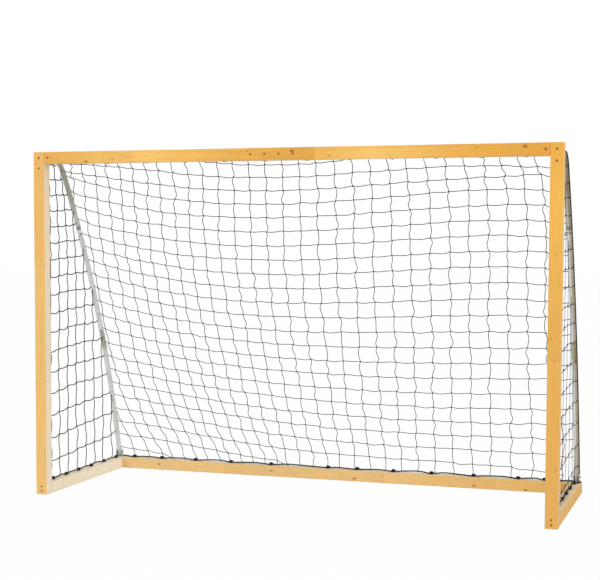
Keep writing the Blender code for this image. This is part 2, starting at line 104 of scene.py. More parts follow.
def calculate(tree, operation, *values):
    return out_of(tree, "ShaderNodeMath", dict(enumerate(values)), operation=operation)


def seen_directly(tree):
    """1 for rays from the eye, and for those that a shiny or clear surface sends on."""
    path = add_node(tree, "ShaderNodeLightPath").outputs
    mirrored = calculate(tree, "MAXIMUM", path["Is Glossy Ray"], path["Is Transmission Ray"])
    return calculate(tree, "MAXIMUM", path["Is Camera Ray"], mirrored)


room = bpy.data.worlds.new("room")
room.use_nodes = True
tree = room.node_tree
tree.nodes.clear()
lit = out_of(tree, "ShaderNodeBackground", {"Color": (1.0, 0.985, 0.96, 1.0), "Strength": ROOM_LIGHT})
shown = out_of(tree, "ShaderNodeBackground", {"Color": (1.0, 1.0, 1.0, 1.0), "Strength": 1.0})
chosen = out_of(tree, "ShaderNodeMixShader", {0: seen_directly(tree), 1: lit, 2: shown})
add_node(tree, "ShaderNodeOutputWorld", {"Surface": chosen})
scene.world = room

paper = bpy.data.materials.new("white_floor")
paper.use_nodes = True
tree = paper.node_tree
tree.nodes.clear()
matt = out_of(tree, "ShaderNodeBsdfDiffuse", {"Color": (0.93, 0.93, 0.93, 1.0)})
glow = out_of(tree, "ShaderNodeEmission", {"Color": (1.0, 1.0, 1.0, 1.0), "Strength": 1.0})
share = calculate(tree, "MULTIPLY", seen_directly(tree), FLOOR_WHITE)
both = out_of(tree, "ShaderNodeMixShader", {0: share, 1: matt, 2: glow})
add_node(tree, "ShaderNodeOutputMaterial", {"Surface": both})
corners = [(x * FLOOR_REACH, y * FLOOR_REACH, -0.0005) for x, y in ((-1, -1), (1, -1), (1, 1), (-1, 1))]
sheet = bpy.data.meshes.new("floor")
sheet.from_pydata(corners, [], [(0, 1, 2, 3)])
sheet.materials.append(paper)
floor = linked("floor", sheet)

for lamp_name, heading, strength, spread in (
    ("key_lamp", (0.50, 0.72, -0.62), 1.10, 35), ("fill_lamp", (-0.80, 0.45, -0.40), 1.25, 60),
):
    lamp = bpy.data.lights.new(lamp_name, "SUN")
    lamp.energy = strength
    lamp.angle = radians(spread)
    holder = linked(lamp_name, lamp)
    holder.rotation_mode = "QUATERNION"
    holder.rotation_quaternion = Vector(heading).to_track_quat("-Z", "Y")

# Seven timbers of planed, oiled pine, 68 mm square with eased edges. Most are made up of finger-jointed lengths of
# honey-coloured wood. Their inner faces, backs and tops are painted paler: a painted highlight for the glare and light
# that fall on these faces.
TIMBER = 0.068
WIDTH, HEIGHT, DEPTH = 3.04, 2.00, 1.10
FRONT = -DEPTH / 2
SIDE_X = (WIDTH - TIMBER) / 2
HEARTWOOD = (0.785, 0.456, 0.085, 1.0)
PAINTED_GLARE_WOOD = (0.800, 0.690, 0.500, 1.0)
KNOT_BROWN, KNOT_LIGHT = (0.27, 0.075, 0.0, 1.0), (0.54, 0.21, 0.0, 1.0)
KNOT_OVAL = (0.62, 1.0, 1.0)
FINGER_LENGTH = 0.010
FINGER_PITCH = 0.0038
RING_SPACING = 0.0042


def mixed(tree, factor, a, b, blend="MIX"):
    sockets = {0: factor, 6: a, 7: b}
    return add_node(tree, "ShaderNodeMix", sockets, data_type="RGBA", blend_type=blend, clamp_factor=True).outputs[2]


def ramped(tree, *values):
    """A smooth ramp: (value, low, high) gives 0 to 1, and two more numbers give other ends."""
    return out_of(tree, "ShaderNodeMapRange", dict(enumerate(values)), interpolation_type="SMOOTHSTEP")


def times(tree, a, b, plus=0.0):
    return calculate(tree, "MULTIPLY_ADD", a, b, plus)


def vector(tree, operation, *values):
    made = add_node(tree, "ShaderNodeVectorMath", dict(enumerate(values)), operation=operation)
    return made.outputs["Value" if operation in ("LENGTH", "DOT_PRODUCT") else "Vector"]


def scaled(tree, a, factor):
    return out_of(tree, "ShaderNodeVectorMath", {0: a, "Scale": factor}, operation="SCALE")


def noisy(tree, at, scale, detail, w=None):
    """A cloudy noise. Each w gives another one."""
    sockets = {"Vector": at, "Scale": scale, "Detail": detail}
    if w is None:
        return add_node(tree, "ShaderNodeTexNoise", sockets).outputs["Fac"]
    return add_node(tree, "ShaderNodeTexNoise", {**sockets, "W": w}, noise_dimensions="4D").outputs["Fac"]


def new_group(name, inputs, outputs, kind="ShaderNodeTree"):
    """A node group with named sockets, given as (name, socket type, default). Returns it, its inputs and its end."""
    group = bpy.data.node_groups.new(name, kind)
    for label, socket, default in inputs:
        made = group.interface.new_socket(label, in_out="INPUT", socket_type="NodeSocket" + socket)
        if default is not None:
            made.default_value = default
    for label, socket in outputs:
        group.interface.new_socket(label, in_out="OUTPUT", socket_type="NodeSocket" + socket)
    return group, add_node(group, "NodeGroupInput").outputs, add_node(group, "NodeGroupOutput")


def make_knot_group():
    """A branch's knot, as an oval core with a soft rim, round a point on a face."""
    group, given, end = new_group(
        "wood_knot",
        [("Vector", "Vector", (0, 0, 0)), ("Centre", "Vector", (0, 0, 0)), ("Radius", "Float", 0.006)],
        [("Core", "Float"), ("Swirl", "Float")],
    )
    away = vector(group, "SUBTRACT", given["Vector"], given["Centre"])
    far = vector(group, "LENGTH", vector(group, "MULTIPLY", away, KNOT_OVAL))
    uneven = times(group, noisy(group, given["Vector"], 160.0, 2.0), 0.5, 0.75)
    reach = calculate(group, "DIVIDE", times(group, far, uneven), given["Radius"])
    core = ramped(group, reach, 0.70, 1.10, 1.0, 0.0)
    feed(group, end, {"Core": core, "Swirl": ramped(group, reach, 0.9, 4.5, 1.0, 0.0)})
    return group


def make_pine_group():
    """Pine along X: growth rings about a heart that shifts from length to length, fibres and pores."""
    group, given, end = new_group(
        "planed_pine",
        [
            ("Vector", "Vector", (0, 0, 0)), ("Length Index", "Float", 0.0), ("Seed", "Float", 0.0),
            ("Swirl", "Float", 0.0), ("Knot", "Float", 0.0), ("Half Length", "Float", 1.0),
            ("Pale", "Float", 0.0), ("Tint", "Color", (1, 1, 1, 1)), ("Glue", "Float", 0.0),
        ],
        [("Color", "Color"), ("Roughness", "Float"), ("Height", "Float")],
    )
    at, painted_glare = given["Vector"], given["Pale"]

    def stretched(*factors):
        return vector(group, "MULTIPLY", at, factors)

    def darkened(colour, factor, *by):
        return mixed(group, factor, colour, by + (1.0,), "MULTIPLY")

    which = times(group, given["Length Index"], 1.37, given["Seed"])
    chance = add_node(group, "ShaderNodeTexWhiteNoise", {"W": which}, noise_dimensions="1D").outputs
    heart = vector(group, "MULTIPLY_ADD", chance["Color"], (0.0, 0.20, 0.20), (0.0, -0.10, -0.10))
    flat = vector(group, "MULTIPLY", vector(group, "SUBTRACT", at, heart), (0.0, 1.0, 1.0))
    bent = noisy(group, stretched(1.6, 14.0, 14.0), 1.0, 2.0, which)
    radius = times(group, bent, 0.022, vector(group, "LENGTH", flat))
    radius = times(group, given["Swirl"], -0.010, radius)
    ring = calculate(group, "FRACT", calculate(group, "DIVIDE", radius, RING_SPACING))
    late = times(group, ramped(group, ring, 0.25, 0.86), ramped(group, ring, 0.88, 1.0, 1.0, 0.0))
    fibres = noisy(group, stretched(9.0, 520.0, 520.0), 1.0, 3.0)
    blotch = ramped(group, noisy(group, stretched(2.2, 9.0, 9.0), 5.0, 1.0, given["Seed"]), 0.36, 0.66)
    tone = times(group, blotch, 0.10, times(group, chance["Value"], 0.16, 0.88))
    # Faces under the mask take a pale tone with fainter rings: a painted highlight for the glare and light on them.
    body = mixed(group, painted_glare, HEARTWOOD, PAINTED_GLARE_WOOD)
    wood = mixed(group, 0.55, body, darkened(body, times(group, blotch, 0.35), 0.86, 0.47, 0.15))
    wood = darkened(wood, times(group, late, times(group, painted_glare, -0.10, 0.17)), 0.62, 0.28, 0.075)
    wood = darkened(wood, ramped(group, fibres, 0.42, 0.80, 0.0, 0.30), 0.70, 0.45, 0.22)
    off_middle = calculate(group, "ABSOLUTE", out_of(group, "ShaderNodeSeparateXYZ", {0: at}))
    from_end = calculate(group, "SUBTRACT", given["Half Length"], off_middle)
    end_grain = ramped(group, from_end, 0.0001, 0.0007, 1.0, 0.0)
    wood = scaled(group, darkened(wood, times(group, end_grain, 0.35), 0.55, 0.33, 0.14), tone)
    tint = mixed(group, times(group, painted_glare, 0.5), given["Tint"], (1.02, 1.03, 1.03, 1.0))
    wood = darkened(vector(group, "MULTIPLY", wood, tint), times(group, given["Glue"], 0.30), 0.50, 0.33, 0.20)
    core = mixed(group, times(group, late, 0.7), KNOT_BROWN, KNOT_LIGHT)
    relief = times(group, fibres, 0.5, times(group, late, 0.5))
    feed(
        group, end,
        {
            "Color": mixed(group, given["Knot"], wood, core),
            "Roughness": times(group, end_grain, 0.25, times(group, late, -0.10, 0.52)),
            "Height": times(group, given["Knot"], 0.6, relief),
        },
    )
    return group


knot_group = make_knot_group()
pine_group = make_pine_group()


def finger_jointed(tree, along, across, joints):
    """Each length's number, and the glue line where two meet, which zigzags as the fingers do."""
    tooth = calculate(tree, "PINGPONG", across, FINGER_PITCH)
    place = times(tree, tooth, FINGER_LENGTH / FINGER_PITCH, along)
    count, glue = 0.0, 0.0
    for joint in joints:
        count = calculate(tree, "ADD", calculate(tree, "GREATER_THAN", place, joint), count)
        off = calculate(tree, "ABSOLUTE", calculate(tree, "SUBTRACT", place, joint))
        glue = calculate(tree, "MAXIMUM", ramped(tree, off, 0.0006, 0.0030, 1.0, 0.0), glue)
    return count, glue


def shaded(tree, along, stops):
    """A tint that changes softly along a timber, from stop to stop."""
    (place, tint), *rest = stops
    shade = tint + (1.0,)
    for after, tint in rest:
        passed = out_of(tree, "ShaderNodeMapRange", {0: along, 1: place, 2: after})
        shade = mixed(tree, passed, shade, tint + (1.0,))
        place = after
    return shade


def new_finish(name):
    """A material, its tree and its shader."""
    material = bpy.data.materials.new(name)
    material.use_nodes = True
    return material, material.node_tree, material.node_tree.nodes["Principled BSDF"]


def dress(name, material):
    """Gives a timber or plate of the frame its finish."""
    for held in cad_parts[name].material_slots:
        held.material = material


def finish_timber(name, turn, centre, half_length, seed, joints, stops, pale_sides, knots, gloss=0.5):
    """Finishes one timber. turn brings its length onto X. Joints and stops lie along it, from its low end."""
    turned = Matrix.Rotation(turn[2], 3, "Z") @ Matrix.Rotation(turn[1], 3, "Y")
    middle = turned @ Vector(centre)
    material, tree, shader = new_finish(name.replace("_half", "") + "_pine")
    at = add_node(tree, "ShaderNodeTexCoord").outputs["Object"]
    placed = out_of(tree, "ShaderNodeMapping", {"Vector": at, "Location": -middle, "Rotation": turn})
    along, across, _ = add_node(tree, "ShaderNodeSeparateXYZ", {0: placed}).outputs
    index, glue = finger_jointed(tree, along, across, [joint - middle.x for joint in joints])
    tint = shaded(tree, along, [(place - middle.x, colour) for place, colour in stops])
    painted_glare, core, swirl = 0.0, 0.0, 0.0
    # Each listed face is painted paler near its surface: a painted highlight for the glare and light it takes.
    for side, amount in pale_sides:
        depth = vector(tree, "DOT_PRODUCT", placed, turned @ Vector(side))
        near = ramped(tree, depth, TIMBER / 2 - 0.0010, TIMBER / 2 - 0.0003, 0.0, amount)
        painted_glare = calculate(tree, "MAXIMUM", near, painted_glare)
    for *spot, radius in knots:
        sockets = {"Vector": placed, "Centre": turned @ Vector(spot) - middle, "Radius": radius}
        found = add_node(tree, "ShaderNodeGroup", sockets, node_tree=knot_group).outputs
        core = calculate(tree, "MAXIMUM", times(tree, found["Core"], min(0.88, 130 * radius)), core)
        swirl = calculate(tree, "MAXIMUM", found["Swirl"], swirl)
    sockets = {
        "Vector": placed, "Length Index": index, "Knot": core, "Swirl": swirl, "Pale": painted_glare, "Seed": seed,
        "Half Length": half_length, "Tint": tint, "Glue": glue,
    }
    pine = add_node(tree, "ShaderNodeGroup", sockets, node_tree=pine_group).outputs
    bump = out_of(tree, "ShaderNodeBump", {"Strength": 0.35, "Distance": 0.0006, "Height": pine["Height"]})
    feed(
        tree, shader,
        {
            "Base Color": pine["Color"], "Roughness": times(tree, 0.5 - gloss, 1.1, pine["Roughness"]),
            "Normal": bump, "Specular IOR Level": gloss, "Coat Weight": 0.24 * gloss, "Coat Roughness": 0.35,
        },
    )
    dress(name, material)


UPRIGHT = (0.0, pi / 2, 0.0)
BACKWARD = (0.0, 0.0, -pi / 2)
LENGTHWISE = (0.0, 0.0, 0.0)
FACE = FRONT
REAR_FACE = -FRONT - TIMBER
BAR_Z = HEIGHT - TIMBER / 2
RAIL_Z = TIMBER / 2
RAIL_MIDDLE_Y = TIMBER / 2
RAIL_HALF = (DEPTH - TIMBER) / 2
BAR_HALF = WIDTH / 2 - TIMBER
finish_timber(
    "left_post", UPRIGHT, (-SIDE_X, FRONT + TIMBER / 2, HEIGHT / 2), HEIGHT / 2, 3.1, (0.670, 1.359),
    [(0.0, (0.93, 0.99, 1.20)), (0.7, (0.95, 0.99, 1.12)), (1.33, (0.95, 1.0, 1.10)), (1.38, (0.88, 0.87, 0.82))],
    [((1, 0, 0), 1.0), ((0, 1, 0), 0.8), ((0, -1, 0), 0.10)],
    [(-1.452, FACE + 0.030, 0.850, 0.004), (-1.452, FACE + 0.026, 1.260, 0.004), (-1.52, FACE + 0.04, 0.86, 0.009)],
)
# The right post's tints darken it towards its foot: painted shade near the floor.
finish_timber(
    "right_post", UPRIGHT, (SIDE_X, FRONT + TIMBER / 2, HEIGHT / 2), HEIGHT / 2, 8.4, (0.890,),
    [(0.0, (0.84, 0.83, 0.91)), (1.0, (0.90, 0.875, 0.80)), (1.72, (1.04, 1.03, 0.76)), (1.97, (0.98, 0.91, 0.50))],
    [((-1, 0, 0), 1.0), ((0, 1, 0), 0.8)],
    [
        (1.486, FACE, 1.422, 0.0045), (1.469, FACE, 0.991, 0.0045), (1.488, FACE, 0.876, 0.004),
        (1.507, FACE, 0.3065, 0.0042), (1.52, FACE + 0.03, 0.62, 0.008), (1.52, FACE + 0.045, 1.71, 0.006),
    ],
)
bar_knots = [
    (0.058, FACE, 1.980, 0.0092), (-0.2005, FACE, 1.982, 0.0045), (-1.1825, FACE, 1.9412, 0.0075),
    (-1.016, FACE, 1.954, 0.0052), (0.269, FACE, 1.9514, 0.0045), (1.072, FACE, 1.980, 0.0045),
    (1.3225, FACE, 1.981, 0.0095), (-0.62, FACE + TIMBER, 1.955, 0.009), (0.83, FACE + TIMBER, 1.962, 0.008),
]
left_tints = [
    (-1.45, (0.86, 0.82, 0.70)), (-0.80, (1.07, 1.16, 1.40)), (-0.25, (0.94, 0.88, 0.68)), (0.10, (0.86, 0.79, 0.46)),
]
right_tints = [
    (0.15, (0.92, 0.89, 0.70)), (0.50, (1.02, 1.13, 1.45)), (0.95, (0.90, 0.86, 0.62)), (1.4, (0.84, 0.72, 0.28)),
]
for half, seed, joints, stops in (("left", 5.2, (-1.066,), left_tints), ("right", 11.9, (), right_tints)):
    finish_timber(
        f"crossbar_{half}_half", LENGTHWISE, (0, FRONT + TIMBER / 2, BAR_Z), BAR_HALF, seed, joints, stops,
        [((0, 0, -1), 0.5), ((0, 1, 0), 0.7)], bar_knots,
    )
finish_timber(
    "left_side_rail", BACKWARD, (-SIDE_X, RAIL_MIDDLE_Y, RAIL_Z), RAIL_HALF, 1.7, (0.19,),
    [(-0.35, (1.02, 1.18, 1.40)), (0.35, (1.15, 1.34, 1.73))],
    [((1, 0, 0), 0.92), ((0, 0, 1), 1.0)],
    [(-1.452, -0.352, 0.052, 0.0045), (-1.452, -0.0195, 0.058, 0.0048), (-1.452, -0.452, 0.0086, 0.0035)],
)
finish_timber(
    "right_side_rail", BACKWARD, (SIDE_X, RAIL_MIDDLE_Y, RAIL_Z), RAIL_HALF, 6.6, (-0.11,),
    [(-0.4, (0.90, 0.84, 0.58)), (0.4, (0.90, 0.78, 0.50))],
    [((-1, 0, 0), 0.9), ((0, 0, 1), 1.0), ((1, 0, 0), 0.35)],
    [(1.52, 0.21, 0.031, 0.007), (1.452, -0.26, 0.045, 0.006)], 0.22,
)
finish_timber(
    "rear_rail", LENGTHWISE, (0, -FRONT - TIMBER / 2, RAIL_Z), BAR_HALF, 9.3, (-0.72, 0.33, 1.02),
    [(-1.4, (0.98, 1.06, 1.15)), (0.2, (1.0, 1.02, 1.0)), (1.3, (0.82, 0.75, 0.50))],
    [((0, 0, 1), 1.0), ((0, -1, 0), 0.30)],
    [
        (-1.1896, REAR_FACE, 0.037, 0.0068), (-0.414, REAR_FACE, 0.036, 0.0064), (0.132, REAR_FACE, 0.0175, 0.007),
        (0.884, REAR_FACE, 0.018, 0.0075), (1.195, REAR_FACE, 0.010, 0.0075), (0.45, -FRONT, 0.04, 0.009),
    ],
)

# Brackets: a flat L-shaped plate with a short rod behind each upper corner, and a bent U on each side rail for the
# stay's foot. Both are cut from steel plate and hot-dip galvanised, which leaves a faint spangle.


def make_galvanised_group():
    """Hot-dip zinc: grey crystals of two or three tones, cloudy patches, and a fine grain."""
    group, given, end = new_group(
        "galvanised",
        [("Vector", "Vector", (0, 0, 0)), ("Crystal", "Float", 150.0), ("Tone", "Color", (0.6, 0.62, 0.6, 1.0))],
        [("Color", "Color"), ("Roughness", "Float"), ("Height", "Float")],
    )
    at = given["Vector"]
    cells = add_node(group, "ShaderNodeTexVoronoi", {"Vector": at, "Scale": given["Crystal"]}).outputs["Color"]
    tones = add_node(group, "ShaderNodeSeparateColor", {0: cells}).outputs
    dull = ramped(group, noisy(group, at, 14.0, 4.0), 0.35, 0.70)
    spangled = mixed(group, times(group, tones[0], 0.32), given["Tone"], (0.74, 0.76, 0.78, 1.0), "MULTIPLY")
    feed(
        group, end,
        {
            "Color": mixed(group, times(group, dull, 0.30), spangled, (0.66, 0.67, 0.62, 1.0), "MULTIPLY"),
            "Roughness": times(group, dull, 0.14, times(group, tones[1], 0.14, 0.30)),
            "Height": times(group, noisy(group, at, 900.0, 2.0), 0.6, tones[2]),
        },
    )
    return group


galvanised_group = make_galvanised_group()


def make_zinc(name, tone, crystal, metal, stains_and_shade=()):
    """A zinc-coated steel finish of one tone and size of crystal. Stains and painted shade are (axis, from, full at,
    colour).
    """
    material, tree, shader = new_finish(name)
    at = add_node(tree, "ShaderNodeTexCoord").outputs["Object"]
    sockets = {"Vector": at, "Crystal": crystal, "Tone": tone}
    coat = add_node(tree, "ShaderNodeGroup", sockets, node_tree=galvanised_group).outputs
    split = add_node(tree, "ShaderNodeSeparateXYZ", {0: at}).outputs
    shown = coat["Color"]
    for axis, low, high, colour in stains_and_shade:
        shown = mixed(tree, ramped(tree, split[axis], low, high), shown, colour, "MULTIPLY")
    bump = out_of(tree, "ShaderNodeBump", {"Strength": 0.20, "Distance": 0.0002, "Height": coat["Height"]})
    feed(tree, shader, {"Base Color": shown, "Roughness": coat["Roughness"], "Normal": bump, "Metallic": metal})
    return material


plate_zinc = make_zinc("galvanised_plate", (0.60, 0.62, 0.63, 1.0), 130.0, 0.85)
for name in ("left_corner_bracket", "right_corner_bracket", "left_foot_bracket", "right_foot_bracket"):
    dress(name, plate_zinc)

# Stays: on each side a 30 mm galvanised tube in three lengths, which leaves the corner bracket level, turns down
# over a tight bend and runs in a shallow bow to the foot bracket. The lengths are slid together and screwed.
STAY_X = 1.490
STAY_RADIUS = 0.015
STUB_Z = 1.965
STUB_START = TIMBER + 0.0046
BEND_RADIUS = 0.150
BOW_RADIUS = 5.80
FOOT_LEAN = radians(13.2)
FOOT_BOLT_Y, FOOT_BOLT_Z = 1.0657, 0.100
STAY_END_Z = 0.081
SEAMS_Z = (1.561, 0.905)
SEAM_GAP = 0.0003
SIDES = ((-1, "left"), (1, "right"))


def stay_leg(z):
    """The bowed leg at a height: its distance behind the goal's front, and its lean off the vertical."""
    lean = asin(sin(FOOT_LEAN) + (z - FOOT_BOLT_Z) / BOW_RADIUS)
    return FOOT_BOLT_Y - BOW_RADIUS * (cos(FOOT_LEAN) - cos(lean)), lean


bend_share = BEND_RADIUS / BOW_RADIUS
BEND_Z = (STUB_Z - BEND_RADIUS * (1 - sin(FOOT_LEAN)) - bend_share * FOOT_BOLT_Z) / (1 - bend_share)


def leg_course(high, low, steps):
    heights = [high + (low - high) * step / steps for step in range(steps + 1)]
    return [(stay_leg(z)[0], z) for z in heights]


def bend_course(steps):
    y, lean = stay_leg(BEND_Z)
    angles = [pi / 2 + (lean - pi / 2) * step / steps for step in range(steps + 1)]
    return [
        (y - BEND_RADIUS * (cos(lean) - cos(angle)), STUB_Z - BEND_RADIUS * (1 - sin(angle))) for angle in angles
    ]


def line_mesh(name, courses, **attributes):
    """A mesh of lines. Each course is the points of one, and attributes hold a value for each point."""
    points, edges = [], []
    for course in courses:
        first = len(points)
        points += [tuple(point) for point in course]
        edges += [(first + step, first + step + 1) for step in range(len(course) - 1)]
    mesh = bpy.data.meshes.new(name)
    mesh.from_pydata(points, edges, [])
    for label, values in attributes.items():
        kind = "FLOAT_VECTOR" if isinstance(values[0], (tuple, Vector)) else "FLOAT"
        held = mesh.attributes.new(label, kind, "POINT")
        if kind == "FLOAT":
            held.data.foreach_set("value", values)
        else:
            held.data.foreach_set("vector", [number for value in values for number in value])
    return linked(name, mesh)


def stored(tree, label, geometry, value, **settings):
    """A geometry that keeps a value under a name."""
    sockets = {"Geometry": geometry, "Name": label, "Value": value}
    return out_of(tree, "GeometryNodeStoreNamedAttribute", sockets, **settings)


def recalled(tree, label, kind="FLOAT"):
    """The value that a geometry keeps under a name, and whether it has one."""
    return add_node(tree, "GeometryNodeInputNamedAttribute", {"Name": label}, data_type=kind).outputs


def make_sweep_group():
    """Draws a round section along curves, as thick as a line says at each point, and 1 where it says nothing. Its UV
    map has the length run in metres and the share of a turn."""
    group, given, end = new_group(
        "swept_round",
        [("Curve", "Geometry", None), ("Radius", "Float", 0.01), ("Sides", "Int", 8)], [("Mesh", "Geometry")],
        "GeometryNodeTree",
    )
    run = add_node(group, "GeometryNodeSplineParameter").outputs
    marked = stored(group, "run", given["Curve"], run["Length"])
    ring = out_of(group, "GeometryNodeCurvePrimitiveCircle", {"Resolution": given["Sides"], "Radius": given["Radius"]})
    around = stored(group, "around", ring, run["Factor"])
    thick = recalled(group, "thick")
    scale = calculate(group, "MAXIMUM", thick["Attribute"], calculate(group, "SUBTRACT", 1.0, thick["Exists"]))
    sockets = {"Curve": marked, "Profile Curve": around, "Fill Caps": True, "Scale": scale}
    swept = out_of(group, "GeometryNodeCurveToMesh", sockets)
    share = recalled(group, "around")[0]
    of_face = out_of(group, "GeometryNodeFieldOnDomain", {0: share}, domain="FACE", data_type="FLOAT")
    wraps = calculate(group, "GREATER_THAN", calculate(group, "SUBTRACT", of_face, share), 0.3)
    around = calculate(group, "ADD", share, wraps)
    both = out_of(group, "ShaderNodeCombineXYZ", {0: recalled(group, "run")[0], 1: around})
    mapped = stored(group, "UVMap", swept, both, data_type="FLOAT2", domain="CORNER")
    tidy = out_of(group, "GeometryNodeSetShadeSmooth", {"Geometry": mapped})
    for spent in ("run", "around", "thick"):
        tidy = out_of(group, "GeometryNodeRemoveAttribute", {"Geometry": tidy, "Name": spent})
    feed(group, end, {"Mesh": tidy})
    return group


sweep_group = make_sweep_group()


def sweep(tree, curve, radius, sides):
    sockets = {"Curve": curve, "Radius": radius, "Sides": sides}
    return out_of(tree, "GeometryNodeGroup", sockets, node_tree=sweep_group)


def new_grower(name, inputs):
    """A geometry tree that grows a mesh with a finish. Returns it, its inputs and its end."""
    return new_group(name, inputs + [("Finish", "Material", None)], [("Mesh", "Geometry")], "GeometryNodeTree")


def close_tree(tree, end, mesh, material):
    """Realises what a tree has made and gives it its finish."""
    real = out_of(tree, "GeometryNodeRealizeInstances", {0: mesh})
    feed(tree, end, {"Mesh": out_of(tree, "GeometryNodeSetMaterial", {"Geometry": real, "Material": material})})


def as_shown(source):
    """The mesh of an object with its modifiers."""
    graph = bpy.context.evaluated_depsgraph_get()
    return bpy.data.meshes.new_from_object(source.evaluated_get(graph), depsgraph=graph)


def grown(name, source, tree, **values):
    """Runs a tree on its source with these sizes, and keeps the result as a plain mesh in a piece of that name."""
    modifier = source.modifiers.new("growth", "NODES")
    modifier.node_group = tree
    for item in tree.interface.items_tree:
        label = item.name.lower().replace(" ", "_")
        if item.in_out == "INPUT" and label in values:
            modifier[item.identifier] = values[label]
    mesh = as_shown(source)
    mesh.name = name
    bpy.data.objects.remove(source)
    return linked(name, mesh)


def make_tube_tree():
    tree, given, end = new_grower(
        "stay_tube", [("Line", "Geometry", None), ("Tube Radius", "Float", STAY_RADIUS), ("Sides", "Int", 36)]
    )
    curve = out_of(tree, "GeometryNodeMeshToCurve", {"Mesh": given["Line"]})
    close_tree(tree, end, sweep(tree, curve, given["Tube Radius"], given["Sides"]), given["Finish"])
    return tree


tube_tree = make_tube_tree()
SPIGOT_LENGTH = 0.055
SPIGOT_RADIUS = 0.0129
LIP = 0.0012
OLIVE = (0.64, 0.61, 0.48, 1.0)
TUBE_TONES = {
    "upper": ((0.60, 0.60, 0.55, 1.0), [(2, 1.62, 1.80, (0.72, 0.70, 0.62, 1.0))]),
    "middle": ((0.73, 0.74, 0.73, 1.0), []),
    "lower": ((0.70, 0.73, 0.70, 1.0), [(2, SEAMS_Z[1] - 0.14, SEAMS_Z[1] - 0.07, OLIVE)]),
}
# On the right stay the outer side of each tube is darkened brown: painted shade.
OUTER_SIDE_SHADE = (0, STAY_X + 0.001, STAY_X + 0.006, (0.60, 0.49, 0.35, 1.0))


def rimmed(course):
    """Points of a tube with a lip at each end, drawn in a little so that each joint shows, and each point's scale."""
    start, second, *_ = course
    *_, last_but_one, last = course
    near = Vector(start).lerp(Vector(second), LIP / (Vector(second) - Vector(start)).length)
    far = Vector(last).lerp(Vector(last_but_one), LIP / (Vector(last_but_one) - Vector(last)).length)
    points = [start, tuple(near), *course[1:-1], tuple(far), last]
    scales = [0.95] + [1.0] * (len(points) - 2) + [0.95]
    return points, scales


for side, name in SIDES:
    lengths = {
        "upper": [(STUB_START, STUB_Z)] + bend_course(18) + leg_course(BEND_Z, SEAMS_Z[0], 10)[1:],
        "middle": leg_course(SEAMS_Z[0] - SEAM_GAP, SEAMS_Z[1], 18),
        "lower": leg_course(SEAMS_Z[1] - SEAM_GAP, STAY_END_Z, 24),
    }
    for part, course in lengths.items():
        tone, stains_and_shade = TUBE_TONES[part]
        if side > 0:
            stains_and_shade = stains_and_shade + [OUTER_SIDE_SHADE]
        tube_zinc = make_zinc(f"{name}_{part}_zinc", tone, 110.0, 0.80, stains_and_shade)
        course, scales = rimmed(course)
        if part != "lower":
            z = course[-1][1]
            course = course + [(stay_leg(z)[0], z - 0.0002), (stay_leg(z - SPIGOT_LENGTH)[0], z - SPIGOT_LENGTH)]
            scales = scales + [SPIGOT_RADIUS / STAY_RADIUS] * 2
        line = line_mesh(f"{name}_{part}_line", [[(side * STAY_X, FRONT + y, z) for y, z in course]], thick=scales)
        tube = grown(f"{name}_stay_{part}_tube", line, tube_tree, finish=tube_zinc)
        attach(tube, "root")
        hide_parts(f"{name}_stay_{part}")

# Countersunk screws hold the corners, the half-lap and the rails. They are zinc-plated, with a cross recess, and
# are driven until the head sits a few millimetres below the wood.
HEAD_SIDES = 20
SCREW_SINK = 0.004


def mesh_from(name, shape):
    """Turns a bmesh into a mesh, and frees it."""
    mesh = bpy.data.meshes.new(name)
    shape.to_mesh(mesh)
    shape.free()
    return mesh


def lathe(name, profile, sides=HEAD_SIDES):
    """A body turned about Z from (radius, height) pairs, from the top down. It is closed at both ends."""
    shape = bmesh.new()
    rings = []
    for radius, height in profile:
        angles = [tau * step / sides for step in range(sides)]
        rings.append([shape.verts.new((radius * cos(a), radius * sin(a), height)) for a in angles])
    for above, below in zip(rings, rings[1:]):
        for here in range(sides):
            after = (here + 1) % sides
            shape.faces.new((above[here], above[after], below[after], below[here]))
    shape.faces.new(rings[0])
    shape.faces.new(rings[-1])
    bmesh.ops.recalc_face_normals(shape, faces=shape.faces)
    mesh = mesh_from(name, shape)
    mesh.shade_smooth()
    mesh.set_sharp_from_angle(angle=radians(40))
    return linked(name, mesh)


def recessed(screw, arm, depth, top):
    """Sinks a tapered cross into a screw's head."""
    for turn in (0, pi / 2):
        shape = bmesh.new()
        bmesh.ops.create_cone(
            shape, segments=4, radius1=arm * 0.45, radius2=arm * 1.08, depth=depth * 1.2, cap_ends=True
        )
        bmesh.ops.rotate(shape, verts=shape.verts, matrix=Matrix.Rotation(pi / 4, 3, "Z"))
        bmesh.ops.scale(shape, verts=shape.verts, vec=(1.0, 0.26, 1.0))
        bmesh.ops.rotate(shape, verts=shape.verts, matrix=Matrix.Rotation(turn, 3, "Z"))
        bmesh.ops.translate(shape, verts=shape.verts, vec=(0, 0, top - depth * 0.4))
        bit = linked("bit", mesh_from("bit", shape))
        cut = screw.modifiers.new("recess", "BOOLEAN")
        cut.operation = "DIFFERENCE"
        cut.object = bit
        whole = as_shown(screw)
        screw.modifiers.clear()
        screw.data = whole
        bpy.data.objects.remove(bit)
    return screw


def spot_mesh(name, spots):
    """Points for a repeated fixing, each given as (place, outward, ahead): its own Z and X directions."""
    turns = []
    for _, outward, ahead in spots:
        up = Vector(outward).normalized()
        across = up.cross(Vector(ahead)).normalized()
        turned = Matrix((across.cross(up), across, up)).transposed()
        turns.append(Vector(turned.to_euler()))
    return line_mesh(name, [[place] for place, _, _ in spots], turn=turns)


def model_of(tree, held):
    """The shape of an object that a tree is given."""
    return add_node(tree, "GeometryNodeObjectInfo", {"Object": held}).outputs["Geometry"]


